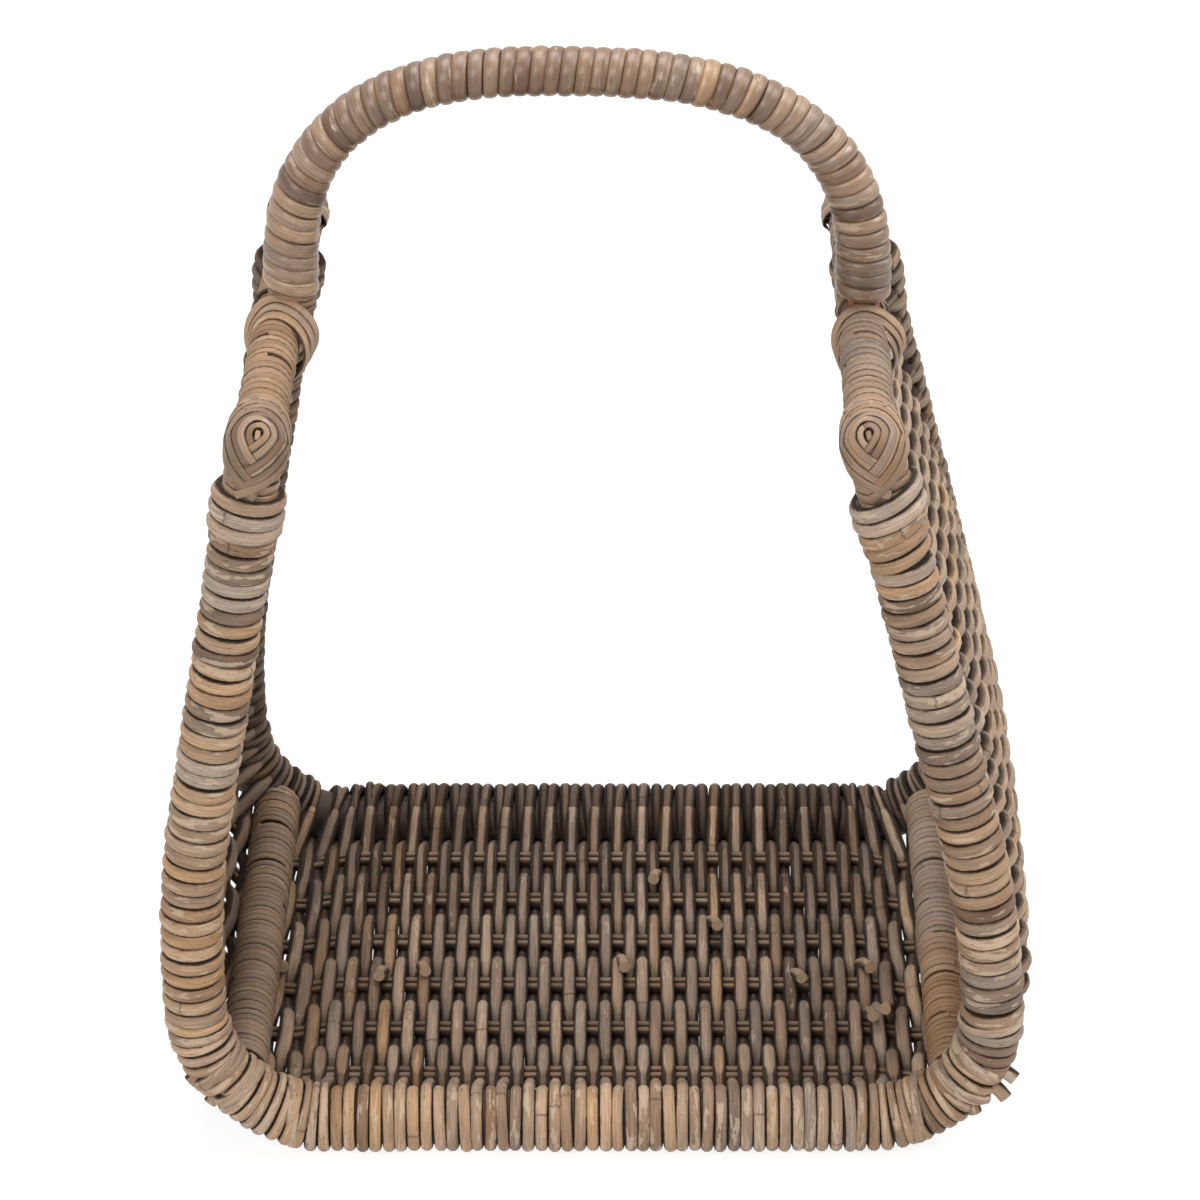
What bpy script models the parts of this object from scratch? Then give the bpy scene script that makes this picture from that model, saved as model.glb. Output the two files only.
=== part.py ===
"""Rattan trug basket: two bent frame poles joined by corner poles and top bars, with a woven
cradle lofted between them and an arched handle lashed to the bars.

Blender 4.5 script in metres, +Z up, with the front towards -Y and the ground at Z = 0.
"""

import math

import bmesh
import bpy
from mathutils import Matrix, Vector

# Fits
CLEARANCE = 0.0003
CUT_OVERRUN = 0.006
WELD_DISTANCE = 0.00001

# Bent frame poles, sized at their axes
HALF_WIDTH = 0.1822
BACK_LEFT_TUCK = 0.0055
FLOOR_DEPTH = 0.250
TOP_DEPTH_SHARE = 0.868
BAR_HEIGHT = 0.364
CORNER_RADIUS = 0.056
RISER_LENGTH = 0.0035
SIDE_BEND_RADIUS = 0.460
SIDE_LEAN = math.radians(11.7)
SIDEWAYS_LEAN_SHARE = -0.040
FRAME_POLE_RADIUS = 0.0095

# Rim bindings: round cane wrapped side by side over the frame poles
FLOOR_WRAP_RADIUS = 0.0166
SIDE_WRAP_RADIUS = 0.0148
WRAP_GROOVE_DEPTH = 0.0016
RIM_WRAP_WIDTH = 0.0062
WRAPS_PER_RIB = 2
FOOT_FLAT_DEPTH = 0.0005
FLAT_SHARE = math.cos(math.pi / 8)
RIM_HEIGHT = FLOOR_WRAP_RADIUS * FLAT_SHARE - FOOT_FLAT_DEPTH

# Poles in the two bottom corners
CORNER_POLE_RADIUS = 0.0097
CORNER_BINDING_RADIUS = 0.0116
CORNER_POLE_INSET = 0.0015

# Top bars
BAR_RADIUS = 0.0095
BAR_BINDING_RADIUS = 0.0113
BAR_OVERHANG = 0.0143

# Woven caps over the ends of the top bars
CAP_HALF_WIDTH = 0.0143
CAP_TOP = 0.0143
CAP_DROP = 0.0238
CAP_TO_RIM = 0.0010
CAP_BACK = 0.0262
CAP_COLLAR_END = 0.0284
CAP_COLLAR_RADIUS = 0.0131
CAP_FRONT = 0.0010
CAP_DOME = 0.0060
CAP_BAND_STEP = 0.0009
CAP_NEST_RISE = 0.0035
CAP_BAND_SHARES = (0.97, 0.76, 0.55, 0.34)
CAP_GROOVE_SHARE = 0.86
CAP_ROUND_SHARE = 1.0
CAP_SQUARE_SHARE = 1.48

# Woven cradle
WEAVE_THICKNESS = 0.0110
WEAVE_RIB_THICKNESS = 0.0158
WEAVE_VALLEY_THICKNESS = 0.0080
FLOOR_RIB_SHARE = 0.2
RIB_START_SHARE = 0.35
RIB_END_SHARE = 0.80
FLOOR_WEAVE_OFFSET = 0.0006
LEFT_WEAVE_OFFSET = 0.0028
RIGHT_WEAVE_OFFSET = 0.0076
LEFT_BULGE = 0.0040
RIGHT_BULGE = 0.0052
TOP_WEAVE_OFFSET = 0.0012
CORNER_SLACK = 0.0006
CORNER_SWING_SHARE = 0.40

# Flat stakes threaded through the weave
STAKE_COUNT = 6
STAKE_WIDTH = 0.0090
STAKE_THICKNESS = 0.0024

# Handle
HANDLE_HEIGHT = 0.4884
HANDLE_POLE_RADIUS = 0.0080
HANDLE_SPRING_HEIGHT = 0.020
HANDLE_CURVE_SHARE = 0.7547
HANDLE_TILT_SHARE = 0.020
HANDLE_TAPER_SHARE = 0.8
LEFT_FOOT_INSET = 0.0067
RIGHT_FOOT_INSET = 0.0003
HANDLE_WRAP_START = 0.0140
HANDLE_WRAP_WIDTH = 0.0068
HANDLE_FOOT_WRAP_RADIUS = 0.0132
HANDLE_TOP_WRAP_RADIUS = 0.0112
HANDLE_GROOVE_DEPTH = 0.0013

# Lashings between the handle and the top bars
LASHING_THICKNESS = 0.0026
LASHING_BAND_WIDTH = 0.0080
LASHING_REACH = 0.0170
LASHING_BITE = 0.0002
LASHING_LAYER = 0.0006
LASHING_TILT = math.radians(45)

# Counts
CORNER_STEPS = 7
WEAVE_CORNER_STEPS = 10
BEND_STEPS = 3
TOP_STEPS = 2
HANDLE_STEPS = 30
ARCH_SAMPLES = 400
CAP_SIDES = 16
RING_STEPS = 14
RING_SIDES = 5
ROD_RESOLUTION = 4
BENT_ROD_RESOLUTION = 2
RIB_RESOLUTION = 2

LEFT, RIGHT = -1, 1
FRONT, BACK = -1, 1
SIDE_NAMES = {LEFT: "left", RIGHT: "right"}
END_NAMES = {FRONT: "front", BACK: "back"}
SIDE_WEAVE_OFFSET = {LEFT: LEFT_WEAVE_OFFSET, RIGHT: RIGHT_WEAVE_OFFSET}
BULGE = {LEFT: LEFT_BULGE, RIGHT: RIGHT_BULGE}
FOOT_INSET = {LEFT: LEFT_FOOT_INSET, RIGHT: RIGHT_FOOT_INSET}

CORNER_MIDDLE = 1.5
CORNER_END = 2
SIDE_BEND = 3
SIDE_TOP = 4
TOP_STATION = 5
SQUARING_SHARE = 0.02
TOP_DEPTH = FLOOR_DEPTH * TOP_DEPTH_SHARE
END_LEAN_SHARE = (FLOOR_DEPTH - TOP_DEPTH) / 2 / (BAR_HEIGHT - RIM_HEIGHT)
CORNER_SEAT = CORNER_BINDING_RADIUS + CLEARANCE + CORNER_SLACK - CORNER_POLE_INSET
CORNER_WEAVE_OFFSET = CORNER_SEAT + WEAVE_THICKNESS / 2

COLOURS = {
    "pole": (0.36, 0.20, 0.10, 1.0),
    "rim": (0.34, 0.24, 0.16, 1.0),
    "peel": (0.36, 0.26, 0.18, 1.0),
    "weave": (0.27, 0.20, 0.14, 1.0),
    "stake": (0.40, 0.29, 0.19, 1.0),
    "handle": (0.30, 0.21, 0.14, 1.0),
}
ROUGHNESS = {"pole": 0.65, "rim": 0.5, "peel": 0.5, "weave": 0.6, "stake": 0.65, "handle": 0.35}


def smooth(share):
    """An eased share between 0 and 1."""
    share = min(max(share, 0.0), 1.0)
    return share * share * (3 - 2 * share)


def blend(first, second, share):
    """The value between two others, eased at both ends."""
    return first + (second - first) * smooth(share)


# Outline of a frame pole


def half_width(side, end):
    """Half the width of a frame at its axis; the left of the back frame is drawn in a little."""
    return HALF_WIDTH - BACK_LEFT_TUCK if (side, end) == (LEFT, BACK) else HALF_WIDTH


def stretch_lengths(width):
    """Lengths of the five stretches from the middle of the floor to the top bar."""
    bend_top = RIM_HEIGHT + CORNER_RADIUS + RISER_LENGTH + SIDE_BEND_RADIUS * math.sin(SIDE_LEAN)
    return (
        width - CORNER_RADIUS,
        CORNER_RADIUS * math.pi / 2,
        RISER_LENGTH,
        SIDE_BEND_RADIUS * SIDE_LEAN,
        (BAR_HEIGHT - bend_top) / math.cos(SIDE_LEAN),
    )


def station_at(distance, width):
    """The station that lies this far along the outline; each stretch is one station long."""
    for stretch, length in enumerate(stretch_lengths(width)):
        if distance <= length:
            return stretch + distance / length
        distance -= length
    return float(TOP_STATION)


def distance_to(station, width):
    """How far along the outline a station lies."""
    lengths = stretch_lengths(width)
    whole = min(int(station), TOP_STATION - 1)
    return sum(lengths[:whole]) + (station - whole) * lengths[whole]


def outline(station, width):
    """Half of the outline, as a point (x, z) and the outward direction there."""
    lengths = stretch_lengths(width)
    stretch = min(int(station), TOP_STATION - 1)
    share = station - stretch
    if stretch == 0:
        return Vector((share * lengths[0], RIM_HEIGHT)), Vector((0, -1))
    if stretch == 1:
        angle = share * math.pi / 2
        outward = Vector((math.sin(angle), -math.cos(angle)))
        centre = Vector((lengths[0], RIM_HEIGHT + CORNER_RADIUS))
        return centre + outward * CORNER_RADIUS, outward
    corner_top = RIM_HEIGHT + CORNER_RADIUS
    if stretch == CORNER_END:
        return Vector((width, corner_top + share * RISER_LENGTH)), Vector((1, 0))
    angle = SIDE_LEAN * (share if stretch == SIDE_BEND else 1)
    outward = Vector((math.cos(angle), math.sin(angle)))
    centre = Vector((width - SIDE_BEND_RADIUS, corner_top + RISER_LENGTH))
    point = centre + outward * SIDE_BEND_RADIUS
    if stretch == SIDE_TOP:
        point += Vector((-outward.y, outward.x)) * share * lengths[4]
    return point, outward


def frame_point(side, end, station, offset=0.0):
    """A point on a frame pole's axis, or off it by an outward offset."""
    point, outward = outline(station, half_width(side, end))
    point = point + outward * offset
    height = point.y - RIM_HEIGHT
    x = side * point.x + SIDEWAYS_LEAN_SHARE * height
    y = end * (FLOOR_DEPTH / 2 - END_LEAN_SHARE * height)
    return Vector((x, y, point.y))


def pole_stations():
    """Stations that follow the bends closely, from the floor's middle to the top."""
    corner = [1 + step / CORNER_STEPS for step in range(CORNER_STEPS)]
    bend = [SIDE_BEND + step / BEND_STEPS for step in range(BEND_STEPS)]
    return [0] + corner + [CORNER_END] + bend + [SIDE_TOP, TOP_STATION]


def both_sides(end, stations):
    """(point, station) pairs from the top of the left side, round the floor, to the right."""
    left = [(frame_point(LEFT, end, station), station) for station in reversed(stations[1:])]
    right = [(frame_point(RIGHT, end, station), station) for station in stations]
    return left + right


def wrap_radius(station):
    """Radius over the rim's wraps, which are fuller along the floor."""
    return blend(FLOOR_WRAP_RADIUS, SIDE_WRAP_RADIUS, station - 1)


# Objects


def make_materials():
    """One Principled material for each kind of cane."""
    made = {}
    for kind, colour in COLOURS.items():
        material = bpy.data.materials.new(f"rattan_{kind}")
        material.use_nodes = True
        shader = material.node_tree.nodes["Principled BSDF"]
        shader.inputs["Base Color"].default_value = colour
        shader.inputs["Roughness"].default_value = ROUGHNESS[kind]
        shader.inputs["Metallic"].default_value = 0.0
        made[kind] = material
    return made


class Workshop:
    """Collections, materials and the parent empty that every piece shares."""

    def __init__(self):
        self.pieces = self.collection("trug_basket", bpy.context.scene.collection)
        self.cutters = self.collection("cutters", bpy.context.scene.collection)
        self.cutters.hide_render = True
        self.materials = make_materials()
        self.root = bpy.data.objects.new("trug_basket_root", None)
        self.pieces.objects.link(self.root)

    def collection(self, name, parent):
        made = bpy.data.collections.new(name)
        parent.children.link(made)
        return made

    def piece(self, name, data, kind):
        """A named piece of the basket, parented to the root."""
        data.materials.clear()
        data.materials.append(self.materials[kind])
        made = bpy.data.objects.new(name, data)
        made.parent = self.root
        self.pieces.objects.link(made)
        return made

    def cutter(self, name, data):
        """A hidden shape that only cuts."""
        made = bpy.data.objects.new(name, data)
        made.parent = self.root
        made.hide_render = True
        made.display_type = "WIRE"
        self.cutters.objects.link(made)
        return made

    def cut(self, piece, *cutters, operation="DIFFERENCE"):
        """Booleans on a piece, one for each cutter."""
        for cutter in cutters:
            modifier = piece.modifiers.new(f"{operation.lower()} {cutter.name}", "BOOLEAN")
            modifier.solver = "EXACT"
            modifier.operation = operation
            modifier.object = cutter
        return piece


def tube_mesh(name, points, radii, resolution):
    """A closed tube along straight runs between the points, as a welded mesh."""
    curve = bpy.data.curves.new(name, "CURVE")
    curve.dimensions = "3D"
    curve.bevel_depth = 1.0
    curve.bevel_resolution = resolution
    curve.use_fill_caps = True
    spline = curve.splines.new("POLY")
    spline.points.add(len(points) - 1)
    for point, place, radius in zip(spline.points, points, radii):
        point.co = (*place, 1)
        point.radius = radius
    holder = bpy.data.objects.new(name, curve)
    mesh = bpy.data.meshes.new_from_object(holder)
    bpy.data.objects.remove(holder)
    bpy.data.curves.remove(curve)
    shape = bmesh.new()
    shape.from_mesh(mesh)
    bmesh.ops.remove_doubles(shape, verts=shape.verts, dist=WELD_DISTANCE)
    bmesh.ops.recalc_face_normals(shape, faces=shape.faces)
    shape.to_mesh(mesh)
    shape.free()
    mesh.name = name
    return mesh


def rod_mesh(name, start, finish, radius, overrun=0.0):
    """A straight round rod between two points, longer at both ends by the overrun."""
    along = (finish - start).normalized() * overrun
    ends = [start - along, finish + along]
    return tube_mesh(name, ends, [radius] * 2, ROD_RESOLUTION)


# Frame poles and their wrapped rims


def bar_ends(side, overhang=BAR_OVERHANG):
    """Both ends of a top bar's axis."""
    front = frame_point(side, FRONT, TOP_STATION)
    back = frame_point(side, BACK, TOP_STATION)
    along = (back - front).normalized() * overhang
    return front - along, back + along


def bar_cutter(shop, side):
    """The room that a bare top bar takes, with its clearance."""
    start, finish = bar_ends(side)
    radius = BAR_RADIUS + CLEARANCE
    mesh = rod_mesh(f"{SIDE_NAMES[side]}_bar_room", start, finish, radius, CLEARANCE)
    return shop.cutter(mesh.name, mesh)


def make_frame_pole(shop, end, bar_rooms):
    """A bent pole whose tops are saddled under the bars."""
    points = [point for point, _ in both_sides(end, pole_stations())]
    name = f"{END_NAMES[end]}_frame_pole"
    mesh = tube_mesh(name, points, [FRAME_POLE_RADIUS] * len(points), BENT_ROD_RESOLUTION)
    return shop.cut(shop.piece(name, mesh, "pole"), *bar_rooms.values())


def rib_stations(side, end):
    """Stations of crests and grooves in turn, from the floor's middle to the cap."""
    width = half_width(side, end)
    reach = distance_to(TOP_STATION, width) - CAP_DROP - CAP_TO_RIM
    ribs = round(reach / (RIM_WRAP_WIDTH * WRAPS_PER_RIB))
    return [station_at(reach * step / (2 * ribs), width) for step in range(2 * ribs + 1)]


def make_rim_binding(shop, end):
    """The wraps round a frame pole, as a ribbed sleeve that is flat where it stands."""
    left = list(enumerate(rib_stations(LEFT, end)))
    right = list(enumerate(rib_stations(RIGHT, end)))
    marks = [(LEFT, *mark) for mark in reversed(left[1:])] + [(RIGHT, *mark) for mark in right]
    points = [frame_point(side, end, station) for side, _, station in marks]
    radii = [wrap_radius(station) - WRAP_GROOVE_DEPTH * (step % 2) for _, step, station in marks]
    name = f"{END_NAMES[end]}_rim_binding"
    sleeve = shop.piece(name, tube_mesh(name, points, radii, RIB_RESOLUTION), "rim")
    core = [point for point, _ in both_sides(end, pole_stations())]
    radius = FRAME_POLE_RADIUS + CLEARANCE
    bore = tube_mesh(f"{name}_bore", core, [radius] * len(core), BENT_ROD_RESOLUTION)
    below = ground_mesh(f"{name}_ground")
    return shop.cut(sleeve, shop.cutter(bore.name, bore), shop.cutter(below.name, below))


def ground_mesh(name):
    """A block under the ground plane that covers the whole basket."""
    size = 2 * (HALF_WIDTH + FLOOR_DEPTH)
    shape = bmesh.new()
    bmesh.ops.create_cube(shape, size=size, matrix=Matrix.Translation((0, 0, -size / 2)))
    mesh = bpy.data.meshes.new(name)
    shape.to_mesh(mesh)
    shape.free()
    return mesh


def rim_room(shop, end):
    """The room that a whole rim takes, with its clearance."""
    marks = both_sides(end, pole_stations())
    points = [point for point, _ in marks]
    radii = [wrap_radius(station) + CLEARANCE for _, station in marks]
    mesh = tube_mesh(f"{END_NAMES[end]}_rim_room", points, radii, RIB_RESOLUTION)
    return shop.cutter(mesh.name, mesh)


# Corner poles and top bars


def make_corner(shop, side, rim_rooms):
    """A pole in a bottom corner and its peel binding, both mouthed against the rims."""
    name = SIDE_NAMES[side]
    start = frame_point(side, FRONT, CORNER_MIDDLE, -CORNER_POLE_INSET)
    finish = frame_point(side, BACK, CORNER_MIDDLE, -CORNER_POLE_INSET)
    pole = shop.piece(
        f"{name}_corner_pole", rod_mesh(f"{name}_corner_pole", start, finish, CORNER_POLE_RADIUS), "pole"
    )
    binding = shop.piece(
        f"{name}_corner_binding",
        rod_mesh(f"{name}_corner_binding", start, finish, CORNER_BINDING_RADIUS),
        "peel",
    )
    bore = rod_mesh(
        f"{name}_corner_bore", start, finish, CORNER_POLE_RADIUS + CLEARANCE, CUT_OVERRUN
    )
    shop.cut(pole, *rim_rooms.values())
    shop.cut(binding, *rim_rooms.values(), shop.cutter(bore.name, bore))


def make_top_bar(shop, side):
    """A straight bar across the tops of the frame poles."""
    name = f"{SIDE_NAMES[side]}_top_bar"
    start, finish = bar_ends(side)
    return shop.piece(name, rod_mesh(name, start, finish, BAR_RADIUS), "pole")


def lashing_span(side):
    """Half the inner width of a lashing, and how far its middle lies inside the bar's axis."""
    reach_in = max(BAR_RADIUS, FOOT_INSET[side] + HANDLE_POLE_RADIUS)
    return (BAR_RADIUS + reach_in) / 2, side * (BAR_RADIUS - reach_in) / 2


def lashing_radius(side):
    """Radius about a lashing's middle that holds everything below the bar."""
    band = LASHING_THICKNESS + LASHING_LAYER + LASHING_BAND_WIDTH / 2 * math.cos(LASHING_TILT)
    return lashing_span(side)[0] + band + CLEARANCE


def stake_drop(side):
    """How far below the bar's axis the stakes end, clear of the lashing."""
    return lashing_radius(side) + FOOT_INSET[side] / 2 + 2 * CLEARANCE


def lashing_half_length():
    """How far a lashing reaches along the bar from the handle's middle plane."""
    ring = LASHING_REACH + LASHING_THICKNESS + LASHING_LAYER
    return ring * math.sin(LASHING_TILT) + LASHING_BAND_WIDTH / 2 * math.cos(LASHING_TILT)


def make_bar_binding(shop, side, end):
    """The peel sleeve on one half of a top bar, from its cap to the handle's lashing."""
    name = f"{SIDE_NAMES[side]}_bar_{END_NAMES[end]}_binding"
    ends = bar_ends(side)
    outer = ends[0] if end == FRONT else ends[1]
    middle = (ends[0] + ends[1]) / 2
    inward = (middle - outer).normalized()
    start = outer + inward * (CAP_COLLAR_END + CLEARANCE)
    finish = middle - inward * (lashing_half_length() + CLEARANCE)
    sleeve = shop.piece(name, rod_mesh(name, start, finish, BAR_BINDING_RADIUS), "peel")
    bore = rod_mesh(f"{name}_bore", start, finish, BAR_RADIUS + CLEARANCE, CUT_OVERRUN)
    return shop.cut(sleeve, shop.cutter(bore.name, bore))


# Woven caps


def cap_ring(half_width_here, top, drop, curve_share, centre_rise):
    """One section of a cap: rounded like an egg, or drawn towards a diamond."""
    ring = []
    for step in range(CAP_SIDES):
        angle = 2 * math.pi * step / CAP_SIDES
        across, up = math.cos(angle), math.sin(angle)
        x = half_width_here * math.copysign(abs(across) ** curve_share, across)
        height = top if up > 0 else drop
        z = height * math.copysign(abs(up) ** curve_share, up)
        ring.append((x, z + centre_rise))
    return ring


def cap_sections():
    """(distance in front of the bar's end, ring) from the collar to the heart of the nest."""
    collar = CAP_COLLAR_RADIUS
    full = cap_ring(CAP_HALF_WIDTH, CAP_TOP, CAP_DROP, CAP_ROUND_SHARE, 0)
    sections = [
        (-CAP_COLLAR_END, cap_ring(collar, collar, collar, CAP_ROUND_SHARE, 0)),
        (-CAP_BACK, full),
        (0, full),
    ]
    for share in CAP_BAND_SHARES:
        bulge = CAP_FRONT + CAP_DOME * (1 - share)
        curve_share = blend(CAP_SQUARE_SHARE, CAP_ROUND_SHARE, share)
        rise = CAP_NEST_RISE * (1 - share)
        for scale, forward in ((share, bulge), (share * CAP_GROOVE_SHARE, bulge + CAP_BAND_STEP)):
            ring = cap_ring(
                CAP_HALF_WIDTH * scale, CAP_TOP * scale, CAP_DROP * scale, curve_share, rise
            )
            sections.append((forward, ring))
    return sections


def cap_mesh(name):
    """A loft through the cap's unlike sections, along local -Y."""
    shape = bmesh.new()
    rings = []
    for forward, ring in cap_sections():
        rings.append([shape.verts.new((x, -forward, z)) for x, z in ring])
    for first, second in zip(rings, rings[1:]):
        for step in range(CAP_SIDES):
            after = (step + 1) % CAP_SIDES
            shape.faces.new((first[step], first[after], second[after], second[step]))
    shape.faces.new(rings[0])
    shape.faces.new(rings[-1])
    bmesh.ops.recalc_face_normals(shape, faces=shape.faces)
    mesh = bpy.data.meshes.new(name)
    shape.to_mesh(mesh)
    shape.free()
    return mesh


def make_cap(shop, side, end, bar_room):
    """A woven cap over a bar's end and the top of the pole under it."""
    name = f"{SIDE_NAMES[side]}_{END_NAMES[end]}_cap"
    ends = bar_ends(side)
    tip, other = (ends[0], ends[1]) if end == FRONT else (ends[1], ends[0])
    back = (other - tip).normalized()
    top = frame_point(side, end, TOP_STATION)
    rising = top - frame_point(side, end, TOP_STATION - 1)
    up = (rising - back * rising.dot(back)).normalized()
    across = back.cross(up)
    turn = Matrix((across, back, up)).transposed().to_4x4()
    cap = shop.piece(name, cap_mesh(name), "peel")
    cap.matrix_local = Matrix.Translation(tip) @ turn
    below = top - rising.normalized() * (CAP_DROP + CUT_OVERRUN)
    pole_room = tube_mesh(
        f"{name}_pole_room", [below, top], [FRAME_POLE_RADIUS + CLEARANCE] * 2, BENT_ROD_RESOLUTION
    )
    return shop.cut(cap, bar_room, shop.cutter(pole_room.name, pole_room))


# Woven cradle and its stakes


def climb_share(station):
    """How far up a station lies between the middle of a corner and the top of a side's bend."""
    start, finish = (distance_to(stop, HALF_WIDTH) for stop in (CORNER_MIDDLE, SIDE_TOP))
    return (distance_to(station, HALF_WIDTH) - start) / (finish - start)


def weave_offset(side, station, across):
    """How far the cradle's middle lies outside the frame poles' axes."""
    bulge = BULGE[side] * 4 * across * (1 - across)
    beside = SIDE_WEAVE_OFFSET[side] + bulge
    if station < CORNER_MIDDLE:
        swing = (station - 1) / CORNER_SWING_SHARE
        return blend(FLOOR_WEAVE_OFFSET, CORNER_WEAVE_OFFSET, swing)
    if station < SIDE_TOP:
        return blend(CORNER_WEAVE_OFFSET, beside, climb_share(station))
    return blend(beside, TOP_WEAVE_OFFSET, station - SIDE_TOP)


def weave_point(signed_station, across):
    """A point on the cradle's middle surface; across runs from the front pole to the back one."""
    side = LEFT if signed_station < 0 else RIGHT
    station = abs(signed_station)
    offset = weave_offset(side, station, across)
    front = frame_point(side, FRONT, station, offset)
    back = frame_point(side, BACK, station, offset)
    return front.lerp(back, across)


def rim_shares(signed_station):
    """Where the weave starts and ends across the basket, clear of both rims."""
    station = abs(signed_station)
    depth = (weave_point(signed_station, 1) - weave_point(signed_station, 0)).length
    edge = (wrap_radius(station) + CLEARANCE) / depth
    return edge, 1 - edge


def stake_place(number):
    """Where a stake's middle lies across the basket, as a share of the cradle's depth."""
    pull_in = wrap_radius(0) / FLOOR_DEPTH
    return pull_in + (1 - 2 * pull_in) * (number + 0.5) / STAKE_COUNT


def stake_shares(number, width):
    """A function that gives the two edges of one stake, or of its channel, at any station."""
    middle = stake_place(number)

    def edges(signed_station):
        depth = (weave_point(signed_station, 1) - weave_point(signed_station, 0)).length
        return middle - width / 2 / depth, middle + width / 2 / depth

    return edges


def sheet_mesh(name, stations, shares, columns):
    """An open grid on the cradle's middle surface, with its columns at shares of its depth."""
    shape = bmesh.new()
    steps_along, steps_across = len(stations) - 1, len(columns) - 1
    bmesh.ops.create_grid(shape, x_segments=steps_along, y_segments=steps_across, size=1)
    for vert in shape.verts:
        station = stations[round((vert.co.x + 1) / 2 * steps_along)]
        column = columns[round((vert.co.y + 1) / 2 * steps_across)]
        first, last = shares(station)
        vert.co = weave_point(station, min(max(column, first), last))
    mesh = bpy.data.meshes.new(name)
    shape.to_mesh(mesh)
    shape.free()
    return mesh


def thicken(piece, thickness):
    """Gives an open sheet its thickness, half to each side."""
    modifier = piece.modifiers.new("thickness", "SOLIDIFY")
    modifier.thickness = thickness
    modifier.offset = 0
    modifier.use_even_offset = True
    return modifier


def rib_columns():
    """Shares across the weave of its edges, its ribs over the stakes and the valleys between."""
    ribs = [stake_place(number) for number in range(STAKE_COUNT)]
    valleys = [(first + second) / 2 for first, second in zip(ribs, ribs[1:])]
    return [0.0] + sorted(ribs + valleys) + [1.0]


def rib_share(station):
    """0 round the bottom corners, where the weave is plain, and 1 where its ribs stand full."""
    if station < CORNER_MIDDLE:
        return 1 - smooth((station - 1) / FLOOR_RIB_SHARE)
    return smooth((climb_share(station) - RIB_START_SHARE) / (RIB_END_SHARE - RIB_START_SHARE))


def weave_thickness(station, column):
    """The weave's thickness: ribs over the stakes and valleys between them."""
    full = WEAVE_VALLEY_THICKNESS if column % 2 == 0 else WEAVE_RIB_THICKNESS
    return WEAVE_THICKNESS + (full - WEAVE_THICKNESS) * rib_share(station)


def make_weave(shop, name, stations, rooms):
    """A panel of the cradle, ribbed over the stakes, with channels for them."""
    columns = rib_columns()
    panel = shop.piece(name, sheet_mesh(name, stations, rim_shares, columns), "weave")
    group = panel.vertex_groups.new(name="thickness")
    thicken(panel, WEAVE_RIB_THICKNESS).vertex_group = group.name
    for column in range(len(columns)):
        for step, station in enumerate(stations):
            share = weave_thickness(abs(station), column) / WEAVE_RIB_THICKNESS
            group.add([column * len(stations) + step], share, "REPLACE")
    return shop.cut(panel, *rooms)


def corner_gap():
    """Half the gap between floor and side weave, as a share of the corner's stretch."""
    return CLEARANCE / 2 / stretch_lengths(HALF_WIDTH)[1]


def side_stations(first, last):
    """Stations up one side between two others, with a short first step that squares the end."""
    stops = [first + SQUARING_SHARE]
    stops += [CORNER_MIDDLE + step / WEAVE_CORNER_STEPS for step in range(1, WEAVE_CORNER_STEPS // 2)]
    stops += [CORNER_END]
    stops += [SIDE_BEND + step / BEND_STEPS for step in range(BEND_STEPS)]
    stops += [SIDE_TOP + step / TOP_STEPS for step in range(TOP_STEPS)]
    return [first] + [stop for stop in stops if first < stop < last] + [last]


def floor_stations(last):
    """Stations along the floor and into both corners, with a short step that squares each end."""
    corner = [1 + step / WEAVE_CORNER_STEPS for step in range(WEAVE_CORNER_STEPS)]
    half = [stop for stop in corner if stop < last - SQUARING_SHARE] + [last - SQUARING_SHARE, last]
    return [-stop for stop in reversed(half)] + [0] + half


def station_below_bar(drop):
    """The station this far under the top bars' axes."""
    return TOP_STATION - drop / stretch_lengths(HALF_WIDTH)[4]


def stake_stations(shorten=0.0):
    """Stations that every stake runs through, from the top of the left side to the right one's."""
    tops = {side: station_below_bar(stake_drop(side) - shorten) for side in (LEFT, RIGHT)}
    rises = {side: side_stations(CORNER_MIDDLE, tops[side])[1:] for side in (LEFT, RIGHT)}
    return [-stop for stop in reversed(rises[LEFT])] + floor_stations(CORNER_MIDDLE) + rises[RIGHT]


def stake_rooms(shop):
    """The room that every stake takes in the weave, with its clearance."""
    rooms = []
    for number in range(STAKE_COUNT):
        shares = stake_shares(number, STAKE_WIDTH + 2 * CLEARANCE)
        mesh = sheet_mesh(f"stake_{number + 1}_room", stake_stations(CLEARANCE), shares, (0.0, 1.0))
        room = shop.cutter(mesh.name, mesh)
        thicken(room, STAKE_THICKNESS + 2 * CLEARANCE)
        rooms.append(room)
    return rooms


def make_floor_weave(shop, rooms):
    """The floor between the rims, which dips under the corner poles."""
    last = CORNER_MIDDLE - corner_gap()
    make_weave(shop, "floor_weave", floor_stations(last), rooms)


def lashing_room(shop, side):
    """The notch that lets a handle lashing pass under the bar."""
    name = f"{SIDE_NAMES[side]}_lashing_room"
    middle = handle_foot(side)[0] + Vector((lashing_span(side)[1], 0, 0))
    along = Vector((0, lashing_half_length() + CLEARANCE, 0))
    return shop.cutter(name, rod_mesh(name, middle - along, middle + along, lashing_radius(side)))


def make_side_weave(shop, side, rooms):
    """A side panel that swells outwards and narrows to the bar."""
    first = CORNER_MIDDLE + corner_gap()
    last = station_below_bar(BAR_BINDING_RADIUS + CLEARANCE)
    stations = [side * stop for stop in side_stations(first, last)]
    make_weave(shop, f"{SIDE_NAMES[side]}_side_weave", stations, [*rooms, lashing_room(shop, side)])


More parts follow.
